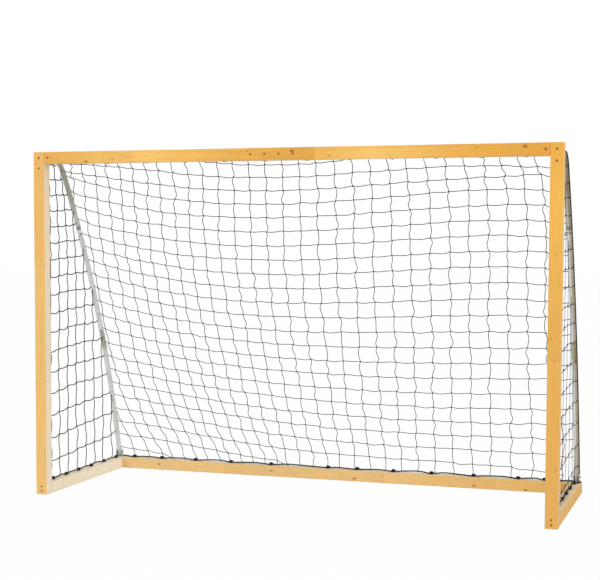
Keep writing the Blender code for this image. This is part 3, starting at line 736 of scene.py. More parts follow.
def set_at_points(tree, points, model):
    """Sets a model at every point, turned as the point says."""
    turn = out_of(tree, "FunctionNodeEulerToRotation", {0: recalled(tree, "turn", "FLOAT_VECTOR")[0]})
    return out_of(tree, "GeometryNodeInstanceOnPoints", {"Points": points, "Instance": model, "Rotation": turn})


def make_fixing_tree():
    """Sets one model of a fixing at every point, sunk as far as it is told."""
    tree, given, end = new_grower(
        "fixings", [("Points", "Geometry", None), ("Model", "Object", None), ("Sink", "Float", 0.0)]
    )
    down = out_of(tree, "ShaderNodeCombineXYZ", {2: times(tree, given["Sink"], -1.0)})
    lowered = out_of(tree, "GeometryNodeTransform", {"Geometry": model_of(tree, given["Model"]), "Translation": down})
    close_tree(tree, end, set_at_points(tree, given["Points"], lowered), given["Finish"])
    return tree


fixing_tree = make_fixing_tree()
# The screws' zinc is coloured dark brown: painted shade of the countersinks, over the bright zinc.
shade_dark_screw_zinc = make_zinc("zinc_plated", (0.30, 0.19, 0.08, 1.0), 420.0, 0.85)


def fix(name, model, spots, nodes, sink=0.0, finish=shade_dark_screw_zinc):
    """Sets a fixing at each spot, as one piece that stands for those nodes of the frame."""
    piece = grown(name, spot_mesh(name + "_spots", spots), fixing_tree, model=model, sink=sink, finish=finish)
    bpy.data.objects.remove(model)
    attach(piece, "root")
    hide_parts(*nodes)


def wood_screw(head, shank, length):
    neck = -(head - shank)
    profile = [
        (head - 0.0003, 0.0), (head, -0.0004), (shank, neck), (shank, -length + 3 * shank), (shank * 0.15, -length)
    ]
    return recessed(lathe("wood_screw", profile), head * 0.62, head * 0.5, 0.0)


FORWARD = (0, -1, 0)


def twisted(angle):
    """A direction in the plane of the goal's front, for a screw that stopped at this angle."""
    return (cos(angle), 0, sin(angle))


spots, nodes = [], []
for side, name in SIDES:
    for letter, x, z, spin in (("a", SIDE_X, 1.966, 0.4), ("b", SIDE_X, 1.906, 1.1), ("c", 1.4285, 1.966, 0.2)):
        spots.append(((side * x, FRONT, z), FORWARD, twisted(spin + side)))
        nodes.append(f"{name}_corner_screw_{letter}")
fix("corner_screws", wood_screw(0.006, 0.003, TIMBER + 0.0005), spots, nodes, SCREW_SINK)
spots = [((-0.060 + 0.082 * (k - 1.5), FRONT, BAR_Z), FORWARD, twisted(0.7 * k)) for k in range(4)]
nodes = [f"splice_screw_{k + 1}" for k in range(4)]
fix("splice_screws", wood_screw(0.0055, 0.0025, 0.055), spots, nodes, SCREW_SINK)
spots, nodes = [], []
for side, name in SIDES:
    for letter, z in (("a", 0.020), ("b", 0.047)):
        spots.append(((side * SIDE_X, FRONT, z), FORWARD, twisted(31 * z + side)))
        nodes.append(f"{name}_foot_screw_{letter}")
        spots.append(((side * WIDTH / 2, -FRONT - TIMBER / 2, z), (side, 0, 0), (0, cos(17 * z), sin(17 * z))))
        nodes.append(f"{name}_rear_screw_{letter}")
fix("rail_screws", wood_screw(0.0055, 0.003, 0.125), spots, nodes, SCREW_SINK)

# Button-head screws join the tubes' lengths and hold the foot brackets to the rails. A cross bolt with a domed head
# and a nut pins the end of each stay in its bracket.
JOINT_DROP = 0.025
PLATE = 0.0036
dull_zinc = make_zinc("dulled_zinc", (0.20, 0.20, 0.19, 1.0), 420.0, 0.80)


def button_screw(shank, length):
    profile = [
        (0.0016, 0.0030), (0.0036, 0.0025), (0.0050, 0.0014), (0.0055, 0.0003), (0.0055, 0.0), (shank, 0.0),
        (shank, -length),
    ]
    return recessed(lathe("button_screw", profile), 0.0026, 0.0018, 0.0030)


spots, nodes = [], []
for side, name in SIDES:
    for seam, which in zip(SEAMS_Z, ("upper", "lower")):
        z = seam - JOINT_DROP
        y, lean = stay_leg(z)
        outward = (Vector((0, -cos(lean), -sin(lean))) + Vector((-side, 0, 0))).normalized()
        spots.append((Vector((side * STAY_X, FRONT + y, z)) + outward * (STAY_RADIUS + 0.0002), outward, (0, -0.3, 1)))
        nodes.append(f"{name}_{which}_joint_screw")
fix("joint_screws", button_screw(0.0020, 0.008), spots, nodes, finish=dull_zinc)
spots = [((side * STAY_X, FRONT + FOOT_BOLT_Y, TIMBER + PLATE), (0, 0, 1), (1, 0.4, 0)) for side, _ in SIDES]
nodes = ["left_bracket_screw", "right_bracket_screw"]
fix("bracket_screws", button_screw(0.0023, 0.019), spots, nodes, finish=dull_zinc)
GRIP = 2 * (STAY_RADIUS + PLATE)
bolt_end = -GRIP - 0.0075
bolt_profile = [
    (0.0022, 0.0055), (0.0042, 0.0048), (0.0058, 0.0033), (0.0065, 0.0012), (0.0065, 0.0), (0.003, 0.0),
    (0.003, bolt_end + 0.0010), (0.0022, bolt_end),
]
bolt = recessed(lathe("carriage_bolt", bolt_profile, 24), 0.0030, 0.0022, 0.0055)
inner = STAY_X - STAY_RADIUS - PLATE
spots = [((side * inner, FRONT + FOOT_BOLT_Y, FOOT_BOLT_Z), (-side, 0, 0), (0, 1, 0.3)) for side, _ in SIDES]
fix("foot_bolts", bolt, spots, ["left_foot_bolt", "right_foot_bolt"], finish=dull_zinc)
nut_profile = [
    (0.0034, 0.005), (0.0049, 0.005), (0.0057, 0.0044), (0.0057, 0.0006), (0.0049, 0.0), (0.0034, 0.0),
]
nut = lathe("hexagon_nut", nut_profile, 6)
shape = bmesh.new()
shape.from_mesh(nut.data)
caps = [face for face in shape.faces if len(face.verts) == 6]
bmesh.ops.delete(shape, geom=caps, context="FACES_ONLY")
rims = [edge for edge in shape.edges if edge.is_boundary]
bmesh.ops.bridge_loops(shape, edges=rims)
bmesh.ops.recalc_face_normals(shape, faces=shape.faces)
shape.to_mesh(nut.data)
shape.free()
nut.data.set_sharp_from_angle(angle=radians(20))
spots = [
    ((side * (inner + GRIP), FRONT + FOOT_BOLT_Y, FOOT_BOLT_Z), (side, 0, 0), (0, 1, 0.4 * side)) for side, _ in SIDES
]
fix("foot_nuts", nut, spots, ["left_foot_nut", "right_foot_nut"], finish=dull_zinc)

# The back net: knotted black twine with 100 mm meshes. It hangs from the rope behind the crossbar to the rope on the
# rear rail, is drawn out to the stays at its sides, and its meshes have slumped off square.
TWINE_RADIUS = 0.0021
HEAD_ROPE_Z = 1.9385
HEAD_ROPE_Y = FRONT + TIMBER + 0.0003 + 0.0035
FOOT_ROPE_Y = FRONT + 1.058
NET_BOTTOM_Z = 0.0835
NET_EDGE_X = STAY_X - 0.0112
NET_EDGE_BACK = 0.0134
BACK_COLUMNS = range(-12, 19)
BACK_ROWS = range(-1, 23)
# How far the slumped meshes lie across, in metres, and down, as a share of the net's drop. Both are patches over
# the whole net: each row here is a level of it, from the crossbar down, and each number in it pulls from left to right.
SLUMP_ACROSS = (
    (-1.252, -0.789, -0.167, 0.899, 1.297),
    (-1.676, -0.694, -0.098, 0.683, 1.623),
    (-1.380, -1.273, -0.290, 0.756, 1.366),
    (-1.724, -0.383, -0.429, 0.856, 1.350),
    (-1.541, -1.060, -0.135, 0.321, 1.591),
    (-1.393, -0.587, -0.284, 0.534, 1.456),
)
SLUMP_DOWN = (
    (-0.062, -0.073, 0.185, -0.141, 0.036),
    (0.284, 0.360, -0.058, 0.292, 0.270),
    (0.305, 0.183, 0.777, 0.054, 0.383),
    (0.635, 0.813, 0.370, 0.783, 0.770),
    (0.777, 0.697, 0.869, 0.854, 0.753),
    (0.980, 1.011, 1.127, 0.989, 1.130),
)
STEPS = 6
KNOT_TURN, KNOT_TWINE = 0.0021, 0.0018


def pulled(patch, across, down):
    """The value of a patch at a place in it, both from 0 to 1."""
    levels, places = len(patch) - 1, len(patch[0]) - 1
    total = 0.0
    for b, level_values in enumerate(patch):
        by_level = comb(levels, b) * down**b * (1 - down) ** (levels - b)
        for a, value in enumerate(level_values):
            total += by_level * comb(places, a) * across**a * (1 - across) ** (places - a) * value
    return total


side_line = [Vector((HEAD_ROPE_Y + 0.006, HEAD_ROPE_Z))]
side_line += [Vector((FRONT + NET_EDGE_BACK + y, z)) for y, z in leg_course(BEND_Z - 0.02, NET_BOTTOM_Z, 24)]
reached = [0.0]
for here, after in zip(side_line, side_line[1:]):
    reached.append(reached[-1] + (after - here).length)


def along_side(drop):
    """The net's side edge at a share of its drop, as (y, z)."""
    depth = drop * reached[-1]
    for step in range(1, len(reached)):
        if depth <= reached[step] or step == len(reached) - 1:
            share = (depth - reached[step - 1]) / (reached[step] - reached[step - 1])
            return side_line[step - 1].lerp(side_line[step], share)


def on_back(x, drop):
    """A place on the back net. It hangs straight in the middle and bows out to the stays at its sides."""
    straight = side_line[0].lerp(side_line[-1], drop)
    y, z = straight.lerp(along_side(drop), (x / NET_EDGE_X) ** 2)
    return Vector((x, y, z))


def back_knot(column, row):
    """Where a knot lies on the back net: how far across, and at what share of the drop."""
    across = (column - BACK_COLUMNS[0]) / (BACK_COLUMNS[-1] - BACK_COLUMNS[0])
    down = (row - BACK_ROWS[0]) / (BACK_ROWS[-1] - BACK_ROWS[0])
    x = pulled(SLUMP_ACROSS, across, down) + 0.005 * noise.noise(Vector((column * 0.9, row * 0.9, 3.0)))
    drop = pulled(SLUMP_DOWN, across, down) + 0.0025 * noise.noise(Vector((column * 0.9, row * 0.9, 8.0)))
    x += 0.010 * max(0, column - 10) * 0.6 ** max(0, row)
    return max(-NET_EDGE_X, min(NET_EDGE_X, x)), drop


def twine_runs(name, strands):
    """Lines for a net's strands: (knots in order, the way it may stray, droop, whether it is tied, thickness)."""
    courses, rows = [], []
    segment = 0
    for knots, way, sag, ties, thickness in strands:
        points = [knots[0]]
        rows.append((Vector((0, 0, 0)), 0.0, float(segment), 0.0, 0.0, thickness))
        for start, stop in zip(knots, knots[1:]):
            segment += 1
            reach = (Vector(stop) - Vector(start)).length
            for step in range(1, STEPS + 1):
                points.append(Vector(start).lerp(Vector(stop), step / STEPS))
                at_knot = step == STEPS
                free = 0.0 if at_knot else reach
                tied = 1.0 if at_knot and ties and stop is not knots[-1] else 0.0
                rows.append((Vector(way) * free, step / STEPS, float(segment), sag * free, tied, thickness))
        courses.append(points)
    labels = ("slack", "share", "segment", "droop", "tied", "thick")
    return line_mesh(name, courses, **dict(zip(labels, zip(*rows))))


def joined(tree, parts):
    """Several geometries as one, in this order."""
    made = tree.nodes.new("GeometryNodeJoinGeometry")
    for part in parts:
        tree.links.new(part, made.inputs[0])
    return made.outputs[0]


def make_net_tree():
    """Lets each run of twine stray and droop between its knots, draws it round, and ties the knots."""
    tree, given, end = new_grower(
        "knotted_net",
        [
            ("Runs", "Geometry", None), ("Twine Radius", "Float", TWINE_RADIUS), ("Stray", "Float", 0.1),
            ("Droop", "Float", 1.0), ("Sides", "Int", 5), ("Seed", "Int", 1), ("Knot", "Object", None),
        ],
    )
    segment, share, droop, tied = (recalled(tree, label)[0] for label in ("segment", "share", "droop", "tied"))

    def chance(extra):
        seed = calculate(tree, "ADD", given["Seed"], extra)
        return add_node(tree, "FunctionNodeRandomValue", {2: -1.0, 3: 1.0, "ID": segment, "Seed": seed}).outputs[1]

    single, double = (calculate(tree, "SINE", times(tree, share, turn)) for turn in (pi, tau))
    stray = times(tree, times(tree, chance(0), single), 0.8)
    stray = times(tree, times(tree, chance(7), double), 0.55, stray)
    aside = scaled(tree, recalled(tree, "slack", "FLOAT_VECTOR")[0], times(tree, stray, given["Stray"]))
    fall = times(tree, times(tree, droop, given["Droop"]), single)
    down = out_of(tree, "ShaderNodeCombineXYZ", {2: times(tree, fall, -1.0)})
    offset = vector(tree, "ADD", aside, down)
    hung = out_of(tree, "GeometryNodeSetPosition", {"Geometry": given["Runs"], "Offset": offset})
    curves = out_of(tree, "GeometryNodeMeshToCurve", {"Mesh": hung})
    strands = sweep(tree, curves, given["Twine Radius"], given["Sides"])
    chosen = calculate(tree, "GREATER_THAN", tied, 0.5)
    points = out_of(tree, "GeometryNodeMeshToPoints", {"Mesh": hung, "Selection": chosen})
    index = out_of(tree, "GeometryNodeInputIndex")
    spin = out_of(
        tree, "FunctionNodeRandomValue",
        {0: (-0.5, -0.5, -0.5), 1: (0.5, 0.5, 0.5), "ID": index, "Seed": given["Seed"]}, data_type="FLOAT_VECTOR",
    )
    knots = out_of(
        tree, "GeometryNodeInstanceOnPoints",
        {
            "Points": points, "Instance": model_of(tree, given["Knot"]),
            "Rotation": out_of(tree, "FunctionNodeEulerToRotation", {0: spin}),
            "Scale": calculate(tree, "DIVIDE", given["Twine Radius"], TWINE_RADIUS / 1.25),
        },
    )
    close_tree(tree, end, joined(tree, (strands, knots)), given["Finish"])
    return tree


def make_knot_model():
    """A netting knot: two short turns of twine, one across the other."""
    shape = bmesh.new()
    for flat_turn in (Matrix.Rotation(radians(20), 3, "X"), Matrix.Rotation(radians(100), 3, "X")):
        rings = []
        for step in range(6):
            a = tau * step / 6
            centre = Vector((cos(a), sin(a), 0)) * KNOT_TURN
            ring = []
            for turn in range(4):
                b = tau * turn / 4
                lift = Vector((cos(a) * cos(b), sin(a) * cos(b), sin(b))) * KNOT_TWINE
                ring.append(shape.verts.new(flat_turn @ (centre + lift)))
            rings.append(ring)
        for near, far in zip(rings, rings[1:] + rings[:1]):
            for turn in range(4):
                after = (turn + 1) % 4
                shape.faces.new((near[turn], far[turn], far[after], near[after]))
    bmesh.ops.recalc_face_normals(shape, faces=shape.faces)
    mesh = mesh_from("netting_knot", shape)
    mesh.shade_smooth()
    return linked("netting_knot", mesh)


def make_cordage(name, colour, pitch, ridges, depth):
    """Black twisted fibre. Its ridges wind along the piece's own UV map, and dust has greyed the tops of them."""
    material, tree, shader = new_finish(name)
    place = add_node(tree, "ShaderNodeTexCoord").outputs
    along, around, _ = add_node(tree, "ShaderNodeSeparateXYZ", {0: place["UV"]}).outputs
    wound = times(tree, along, 1.0 / pitch, times(tree, around, ridges))
    ridge = times(tree, calculate(tree, "SINE", times(tree, wound, tau)), 0.5, 0.5)
    fuzz = noisy(tree, place["Object"], 700.0, 3.0)
    dusty = times(tree, ridge, ramped(tree, noisy(tree, place["Object"], 9.0, 2.0), 0.35, 0.75, 0.15, 0.75))
    grey = tuple(2.2 * part for part in colour[:3]) + (1.0,)
    relief = times(tree, fuzz, 0.35, ridge)
    bump = out_of(tree, "ShaderNodeBump", {"Strength": 0.6, "Distance": depth, "Height": relief})
    feed(
        tree, shader,
        {
            "Base Color": mixed(tree, dusty, colour, grey), "Roughness": times(tree, fuzz, 0.25, 0.55),
            "Normal": bump, "Specular IOR Level": 0.22,
        },
    )
    return material


net_tree = make_net_tree()
netting_knot = make_knot_model()
twine_black = make_cordage("net_twine", (0.012, 0.012, 0.013, 1.0), 0.004, 2.0, 0.0004)

TOP_DROP, FOOT_DROP = 0.005, 0.993
HEAD_START = 0.12
END_SHIFT = 0.03
COLUMN_STRAY, ROW_STRAY = (1, 0, 0), (0, 0.10, 0.36)
EDGE_REACH = NET_EDGE_X - 0.012
HEAD_REACH, ROPE_REACH = 1.378, 1.40
NET_FOOT_Z = TIMBER + 0.006


def at_head(x):
    return Vector((max(-HEAD_REACH, min(HEAD_REACH, x)), HEAD_ROPE_Y + 0.005, HEAD_ROPE_Z))


def at_foot(x):
    return Vector((max(-ROPE_REACH, min(ROPE_REACH, x)), FOOT_ROPE_Y, NET_FOOT_Z))


def down_from(run):
    """Where a column of the back net, going on as it came, reaches the rope on the rail."""
    above, last = run[-2:]
    return at_foot(last.x + (last.x - above.x) * min(1.2, (last.z - TIMBER) / (above.z - last.z)))


def at_stay(x, drop):
    """Where a strand that leaves the back net on the side of x, at a share of its drop, meets the rear of the stay."""
    side = 1 if x > 0 else -1
    z = min(along_side(drop)[1], STUB_Z - 0.022)
    if z > BEND_Z:
        y, lean = stay_leg(BEND_Z)
        y -= BEND_RADIUS * (cos(lean) - cos(asin(1 - (STUB_Z - z) / BEND_RADIUS)))
        return Vector((side * NET_EDGE_X, FRONT + y + NET_EDGE_BACK, z))
    y, lean = stay_leg(z)
    return Vector((side * NET_EDGE_X, FRONT + y + NET_EDGE_BACK * cos(lean), z + NET_EDGE_BACK * sin(lean)))


grid = {}
for column in BACK_COLUMNS:
    for row in BACK_ROWS:
        x, drop = back_knot(column, row)
        if column == BACK_COLUMNS[-1] and row > 0:
            neighbour = back_knot(column - 1, row)[0]
            x = neighbour + 0.42 * (NET_EDGE_X - neighbour)
        if row < 0 and column > 9:
            drop = 0.0
        grid[column, row] = x, drop
strands = []
row_ends = {-1: {}, 1: {}}
for column in BACK_COLUMNS:
    run = []
    for row in BACK_ROWS:
        x, drop = grid[column, row]
        if drop <= TOP_DROP:
            continue
        if abs(x) < EDGE_REACH and drop < FOOT_DROP:
            if not run:
                run = [at_head(x) if drop < HEAD_START and abs(x) < ROPE_REACH else at_stay(x, drop - END_SHIFT)]
            run.append(on_back(x, drop))
            continue
        if len(run) > 1:
            run.append(down_from(run) if drop >= FOOT_DROP else at_stay(x, drop))
            strands.append((run, COLUMN_STRAY, 0.0, False, 1.0))
        run = []
    if len(run) > 1:
        run.append(down_from(run))
        strands.append((run, COLUMN_STRAY, 0.0, False, 1.0))
for row in BACK_ROWS:
    for side, column, inward in ((-1, BACK_COLUMNS[0], 1), (1, BACK_COLUMNS[-1], -1)):
        while abs(grid[column, row][0]) >= EDGE_REACH:
            column += inward
        x, drop = grid[column, row]
        beyond = drop + 0.5 * (drop - grid[column + inward, row][1])
        beyond = max(drop - END_SHIFT, min(drop + END_SHIFT, beyond))
        if 0.02 < beyond < FOOT_DROP:
            row_ends[side][row] = beyond
    run = [at_stay(-1, row_ends[-1][row])] if row in row_ends[-1] else []
    for column in BACK_COLUMNS:
        x, drop = grid[column, row]
        if abs(x) >= EDGE_REACH:
            continue
        if TOP_DROP < drop < FOOT_DROP:
            run.append(on_back(x, drop))
            continue
        rope_end = at_head(x) if drop < 0.5 else at_foot(x)
        if len(run) > 1:
            strands.append((run + [rope_end], ROW_STRAY, 0.03, True, 1.0))
        run = [rope_end]
    if row in row_ends[1]:
        run.append(at_stay(1, row_ends[1][row]))
    if len(run) > 1:
        strands.append((run, ROW_STRAY, 0.03, True, 1.0))
back_net = grown(
    "back_netting", twine_runs("back_runs", strands), net_tree, twine_radius=TWINE_RADIUS, stray=0.12, droop=1.0,
    sides=5, seed=4, knot=netting_knot, finish=twine_black,
)
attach(back_net, "root")
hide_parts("back_net")

# The side nets: the same twine, flat between post, rail and stay. Short ends tie their front edge to the back of the
# post, and their rows end at the stay.
SIDE_NET_X = 1.4885
SIDE_SLUMP_BACK = (
    (0.115, 0.344, 0.803), (0.167, 0.772, 0.923), (0.109, 0.434, 1.146), (0.130, 0.573, 1.056),
)
SIDE_SLUMP_UP = (
    (1.936, 1.920, 2.185), (1.443, 1.474, 1.297), (0.870, 0.970, 0.944), (0.033, 0.055, 0.097),
)
SIDE_COLUMNS, SIDE_ROWS = 9, 17
STUB_UNDER_Z = STUB_Z - STAY_RADIUS


def stay_face(z):
    """How far behind the front the stay's near side is at a height."""
    if z > BEND_Z:
        rise = min(1.0, (z - BEND_Z) / (STUB_UNDER_Z - BEND_Z))
        return stay_leg(BEND_Z)[0] - STAY_RADIUS - 0.10 * rise**2
    return stay_leg(z)[0] - STAY_RADIUS / cos(stay_leg(z)[1])


def stay_face_height(y, low):
    """How high the stay's near side is at a distance behind the front, if that is above low."""
    high = STUB_UNDER_Z
    for _ in range(30):
        middle = (low + high) / 2
        low, high = (middle, high) if stay_face(middle) > y else (low, middle)
    return low


# For each side: how much wider the columns stand, how far the rows are lowered, as a share of a mesh, and how thick
# its rows, columns and front edge are, where the back net's twine is 1.
for side, name, spread, lowered, row_twine, column_twine, edge_twine in (
    (-1, "left", 1.0, 0.0, 1.5, 1.25, 1.2), (1, "right", 1.25, 0.48, 0.95, 0.62, 0.6),
):
    knots = {}
    for row in range(SIDE_ROWS):
        for column in range(SIDE_COLUMNS):
            across = column * spread / (SIDE_COLUMNS - 1)
            level = (row + lowered) / SIDE_ROWS
            back = pulled(SIDE_SLUMP_BACK, across, level)
            up = min(pulled(SIDE_SLUMP_UP, across, level), STUB_UNDER_Z - 0.006)
            if back < stay_face(up) - 0.015:
                knots[column, row] = Vector((side * SIDE_NET_X, FRONT + back, up))
    strands, edge = [], []
    for row in range(SIDE_ROWS):
        run = [knots[column, row] for column in range(SIDE_COLUMNS) if (column, row) in knots]
        if not run:
            continue
        start = Vector((run[0].x, FRONT + TIMBER + 0.001, run[0].z + 0.006))
        edge.append(start + Vector((0, 0.011 + 0.010 * noise.noise(Vector((row * 0.7, side, 1.0))), -0.003)))
        run.insert(0, edge[-1])
        rise = 0.3 * (run[-1].z - run[-2].z) if len(run) > 1 else 0.0
        stop_z = min(run[-1].z + rise, STUB_UNDER_Z)
        stop = Vector((side * (STAY_X + 0.0166), FRONT + stay_face(stop_z) + STAY_RADIUS - 0.0045, stop_z))
        strands.append(([start] + run + [stop], (0, 0.1, 0.35), 0.05, True, row_twine))
    edge = [edge[0] + Vector((0, 0, 0.02))] + edge + [Vector((edge[-1].x, edge[-1].y, NET_FOOT_Z))]
    strands.append((edge, (0, 0.4, 0), 0.0, False, edge_twine))
    for column in range(SIDE_COLUMNS):
        run = [knots[column, row] for row in range(SIDE_ROWS) if (column, row) in knots]
        if not run:
            continue
        first = run[0]
        y = first.y - FRONT
        if y < stay_leg(BEND_Z)[0] - 0.12 and first.z > 1.80:
            top_z = STUB_UNDER_Z + 0.001
        else:
            top_z = stay_face_height(y, first.z) + 0.002
        top = Vector((first.x, first.y, top_z))
        foot = Vector((run[-1].x, min(run[-1].y, FRONT + 1.035), NET_FOOT_Z))
        strands.append(([top] + run + [foot], (0, 0.8, 0), 0.0, False, column_twine))
    side_net = grown(
        f"{name}_side_netting", twine_runs(f"{name}_side_runs", strands), net_tree, twine_radius=TWINE_RADIUS,
        stray=0.17, droop=1.0, sides=5, seed=20 + side, knot=netting_knot, finish=twine_black,
    )
    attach(side_net, "root")
    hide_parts(f"{name}_side_net")
bpy.data.objects.remove(netting_knot)

# The nets' edge: back and side nets meet on each stay's outer side. The rows of the back net wrap round the rear of
# the tube to a thicker edge cord, which runs along that side from the corner down to the rail.
EDGE_CORD_RADIUS = 0.0034
EDGE_CORD_TURN = radians(-18)
WRAP_RADIUS = STAY_RADIUS + TWINE_RADIUS + 0.0002
WRAP_END = radians(-132)
WRAP_STEPS = 8


def make_binding_tree():
    """Sets one bent line of wire or cord at every point, and draws it round."""
    tree, given, end = new_grower(
        "bindings",
        [("Points", "Geometry", None), ("Bend", "Object", None), ("Thickness", "Float", 0.003), ("Sides", "Int", 6)],
    )
    bends = set_at_points(tree, given["Points"], model_of(tree, given["Bend"]))
    real = out_of(tree, "GeometryNodeRealizeInstances", {0: bends})
    curves = out_of(tree, "GeometryNodeMeshToCurve", {"Mesh": real})
    radius = times(tree, given["Thickness"], 0.5)
    close_tree(tree, end, sweep(tree, curves, radius, given["Sides"]), given["Finish"])
    return tree


binding_tree = make_binding_tree()


def bind(name, bend, spots, thickness, sides, finish):
    """Sets a bent line at each spot, as one piece that adds to the frame."""
    piece = grown(
        name, spot_mesh(name + "_spots", spots), binding_tree, bend=bend, thickness=thickness, sides=sides,
        finish=finish,
    )
    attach(piece, "root")
    bpy.data.objects.remove(bend)


def smoothed(points, steps):
    """Points on a smooth line through the given ones."""
    found = []
    padded = [2 * points[0] - points[1], *points, 2 * points[-1] - points[-2]]
    for a, b, c, d in zip(padded, padded[1:], padded[2:], padded[3:]):
        for step in range(steps):
            t = step / steps
            found.append(
                0.5 * (2 * b + (c - a) * t + (2 * a - 5 * b + 4 * c - d) * t**2 + (3 * b - a - 3 * c + d) * t**3)
            )
    return found + [points[-1]]


wrap = []
for step in range(WRAP_STEPS + 1):
    angle = EDGE_CORD_TURN + (WRAP_END - EDGE_CORD_TURN) * step / WRAP_STEPS
    wrap.append((WRAP_RADIUS * cos(angle), WRAP_RADIUS * sin(angle), 0.0))
spots, edge_courses = [], []
edge_reach = STAY_RADIUS + EDGE_CORD_RADIUS - 0.0004
edge_out, edge_back = edge_reach * cos(EDGE_CORD_TURN), -edge_reach * sin(EDGE_CORD_TURN)
for side, _ in SIDES:
    edge_x = side * (STAY_X + edge_out)
    start = [(STUB_START + 0.012, STUB_Z)] + bend_course(9)
    edge = [Vector((edge_x, FRONT + edge_back + y, z)) for y, z in start]
    for drop in row_ends[side].values():
        y, z = along_side(drop)
        y -= NET_EDGE_BACK
        if z > BEND_Z - 0.03 or z < 0.125:
            continue
        lean = stay_leg(z)[1]
        along = side * Vector((0, sin(lean), -cos(lean)))
        spots.append(((side * STAY_X, y, z), along, (side, 0, 0)))
        edge.append(Vector((edge_x, edge_back + y + 0.003 * noise.noise(Vector((z * 31.0, side, 0))), z)))
    edge.append(Vector((edge_x, FRONT + edge_back + stay_leg(0.115)[0], 0.115)))
    edge_courses.append(smoothed(edge, 4))
bind("net_wraps", line_mesh("wrap", [wrap]), spots, 2 * TWINE_RADIUS, 5, twine_black)
edge_cords = grown(
    "net_edge_cords", line_mesh("edge_lines", edge_courses), tube_tree, tube_radius=EDGE_CORD_RADIUS, sides=8,
    finish=twine_black,
)
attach(edge_cords, "root")

# The border ropes: black three-strand rope, 9 mm thick. One lies along the top of the ground rails and rounds the
# foot of each stay; the other is stretched behind the crossbar.
STRAND_RADIUS = 0.0021
ROPE_LAY = 0.021
ROPE_RADIUS = 0.0043
TIES_SIDE = (0.14, 0.305, 0.47, 0.64, 0.82, 1.00)
TIES_REAR = (-1.378, -1.182, -0.946, -0.699, -0.426, -0.047, 0.143, 0.375, 0.615, 0.876, 1.146, 1.304)
SIDE_ROPE_X = 1.484
HEAD_ROPE_END = 1.380
ROPE_START_Y = TIMBER + 0.006
ROPE_Z = TIMBER + ROPE_RADIUS + 0.0006


def make_rope_tree():
    """Lays three strands round each other along a line."""
    tree, given, end = new_grower(
        "laid_rope",
        [
            ("Line", "Geometry", None), ("Strand Radius", "Float", STRAND_RADIUS), ("Lay", "Float", ROPE_LAY),
            ("Sides", "Int", 6),
        ],
    )
    curve = out_of(tree, "GeometryNodeMeshToCurve", {"Mesh": given["Line"]})
    step = calculate(tree, "DIVIDE", given["Lay"], 10.0)
    fine = out_of(tree, "GeometryNodeResampleCurve", {"Curve": curve, "Length": step}, mode="LENGTH")
    run = add_node(tree, "GeometryNodeSplineParameter").outputs["Length"]
    turn = times(tree, calculate(tree, "DIVIDE", run, given["Lay"]), tau)
    normal = out_of(tree, "GeometryNodeInputNormal")
    across = vector(tree, "CROSS_PRODUCT", out_of(tree, "GeometryNodeInputTangent"), normal)
    reach = times(tree, given["Strand Radius"], 1.12)
    strands = []
    for strand in range(3):
        angle = calculate(tree, "ADD", turn, tau * strand / 3)
        one = scaled(tree, normal, times(tree, calculate(tree, "COSINE", angle), reach))
        other = scaled(tree, across, times(tree, calculate(tree, "SINE", angle), reach))
        offset = vector(tree, "ADD", one, other)
        strands.append(out_of(tree, "GeometryNodeSetPosition", {"Geometry": fine, "Offset": offset}))
    rope = sweep(tree, joined(tree, strands), given["Strand Radius"], given["Sides"])
    close_tree(tree, end, rope, given["Finish"])
    return tree


def beside(side, y, sway=0.0, lift=0.0):
    return Vector((side * (SIDE_ROPE_X + sway), FRONT + y, ROPE_Z + lift))


def behind(x, sway=0.0, lift=0.0):
    return Vector((x, FOOT_ROPE_Y + sway, ROPE_Z + lift))


def slung(ties, at):
    """Rope points from tie to tie. Between two ties the rope sways aside and stands up off the rail."""
    points = []
    for index, tie in enumerate(ties):
        points.append(at(tie, 0.0, 0.0))
        if index + 1 == len(ties):
            break
        gap = ties[index + 1] - tie
        for share in (0.30, 0.68):
            place = tie + gap * share
            sway = 0.016 * noise.noise(Vector((place * 7.0, index * 1.7, 2.0)))
            lift = 0.0030 + 0.015 * abs(noise.noise(Vector((place * 5.0, 4.0, index * 2.3)))) * min(1, abs(gap) / 0.2)
            points.append(at(place, sway, lift))
    return points


rope_tree = make_rope_tree()
rope_black = make_cordage("border_rope", (0.007, 0.007, 0.007, 1.0), 0.0035, 3.0, 0.0005)
foot_round = [
    (1.497, 1.020), (1.5115, 1.040), (1.5135, 1.066), (1.5105, 1.084), (1.498, 1.0925), (1.470, 1.0925), (1.440, 1.080),
]
left = slung(TIES_SIDE, lambda y, sway, lift: beside(-1, y, sway, lift))
rear = slung(TIES_REAR, behind)
right = slung(TIES_SIDE[::-1], lambda y, sway, lift: beside(1, y, sway, lift))
left_round = [Vector((-x, FRONT + y, ROPE_Z)) for x, y in foot_round]
right_round = [Vector((x, FRONT + y, ROPE_Z)) for x, y in foot_round[::-1]]
left_end, right_end = beside(-1, ROPE_START_Y), beside(1, ROPE_START_Y)
course = smoothed([left_end, *left, *left_round, *rear, *right_round, *right, right_end], 8)
ground_rope = grown("ground_border_rope", line_mesh("ground_line", [course]), rope_tree, finish=rope_black)
head_ends = [Vector((x, HEAD_ROPE_Y + 0.0008, HEAD_ROPE_Z)) for x in (-HEAD_ROPE_END, HEAD_ROPE_END)]
head_rope = grown("head_border_rope", line_mesh("head_line", [head_ends]), rope_tree, finish=rope_black)
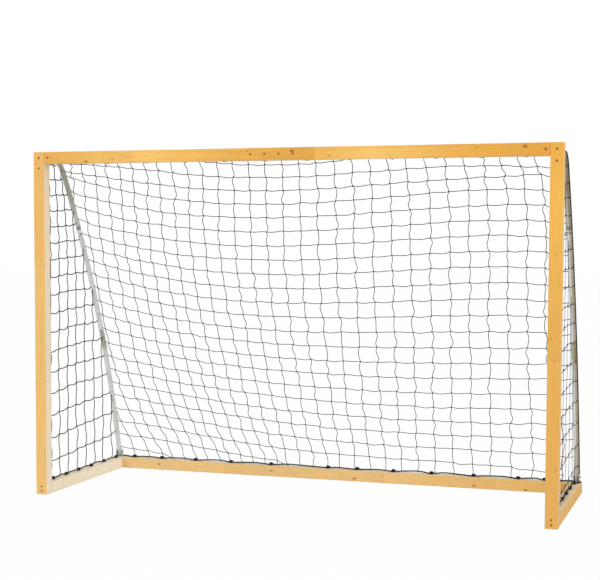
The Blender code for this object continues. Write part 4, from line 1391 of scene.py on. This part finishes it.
for rope, node in ((ground_rope, "ground_rope"), (head_rope, "head_rope")):
    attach(rope, "root")
    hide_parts(node)

# Lashings tie the ropes down: five tight turns of thick cord over each tie, finished with a small knot. A
# galvanised staple in the timber beside each one holds it.
LASHING_TURNS = 5
LASHING_LENGTH = 0.023
LASHING_RADIUS = 0.0059
LASHING_CORD = 0.0046
TIE_LIFT = 0.0025
HEAD_TIES, HEAD_TIE_REACH = 12, 1.32
STAPLE_AHEAD = 0.0145
winding = []
for step in range(LASHING_TURNS * 10 + 1):
    turn = tau * step / 10
    along = LASHING_LENGTH * (step / (LASHING_TURNS * 10) - 0.5)
    winding.append((along, LASHING_RADIUS * sin(turn), LASHING_RADIUS * cos(turn)))
tail = [
    (0.002, 0.004, 0.0070), (0.006, -0.002, 0.0092), (-0.001, -0.007, 0.0080), (-0.008, 0.000, 0.0094),
    (0.001, 0.007, 0.0080), (0.009, 0.011, 0.0050), (0.014, 0.014, 0.0010),
]
lashing = line_mesh("lashing", [winding, smoothed([Vector(point) for point in tail], 3)])
spots = [(beside(side, y, 0.0, TIE_LIFT), (0, 0, 1), (0, 1, 0)) for side, _ in SIDES for y in TIES_SIDE]
spots += [(behind(x, 0.0, TIE_LIFT), (0, 0, 1), (1, 0, 0)) for x in TIES_REAR]
for step in range(HEAD_TIES):
    x = -HEAD_TIE_REACH + 2 * HEAD_TIE_REACH * step / (HEAD_TIES - 1)
    spots.append(((x, HEAD_ROPE_Y + 0.0045, HEAD_ROPE_Z), (0, 1, 0), (-1, 0, 0)))
bind("lashings", lashing, spots, LASHING_CORD, 6, rope_black)
staple_bend = [
    (0, -0.0065, -0.022), (0, -0.0065, -0.004), (0, -0.0050, 0.0012), (0, 0.0, 0.0030), (0, 0.0050, 0.0012),
    (0, 0.0065, -0.004), (0, 0.0065, -0.022),
]
staple = line_mesh("staple", [staple_bend])
spots = [(Vector(place) + STAPLE_AHEAD * Vector(ahead), up, ahead) for place, up, ahead in spots]
bind("staples", staple, spots, 0.0020, 8, plate_zinc)
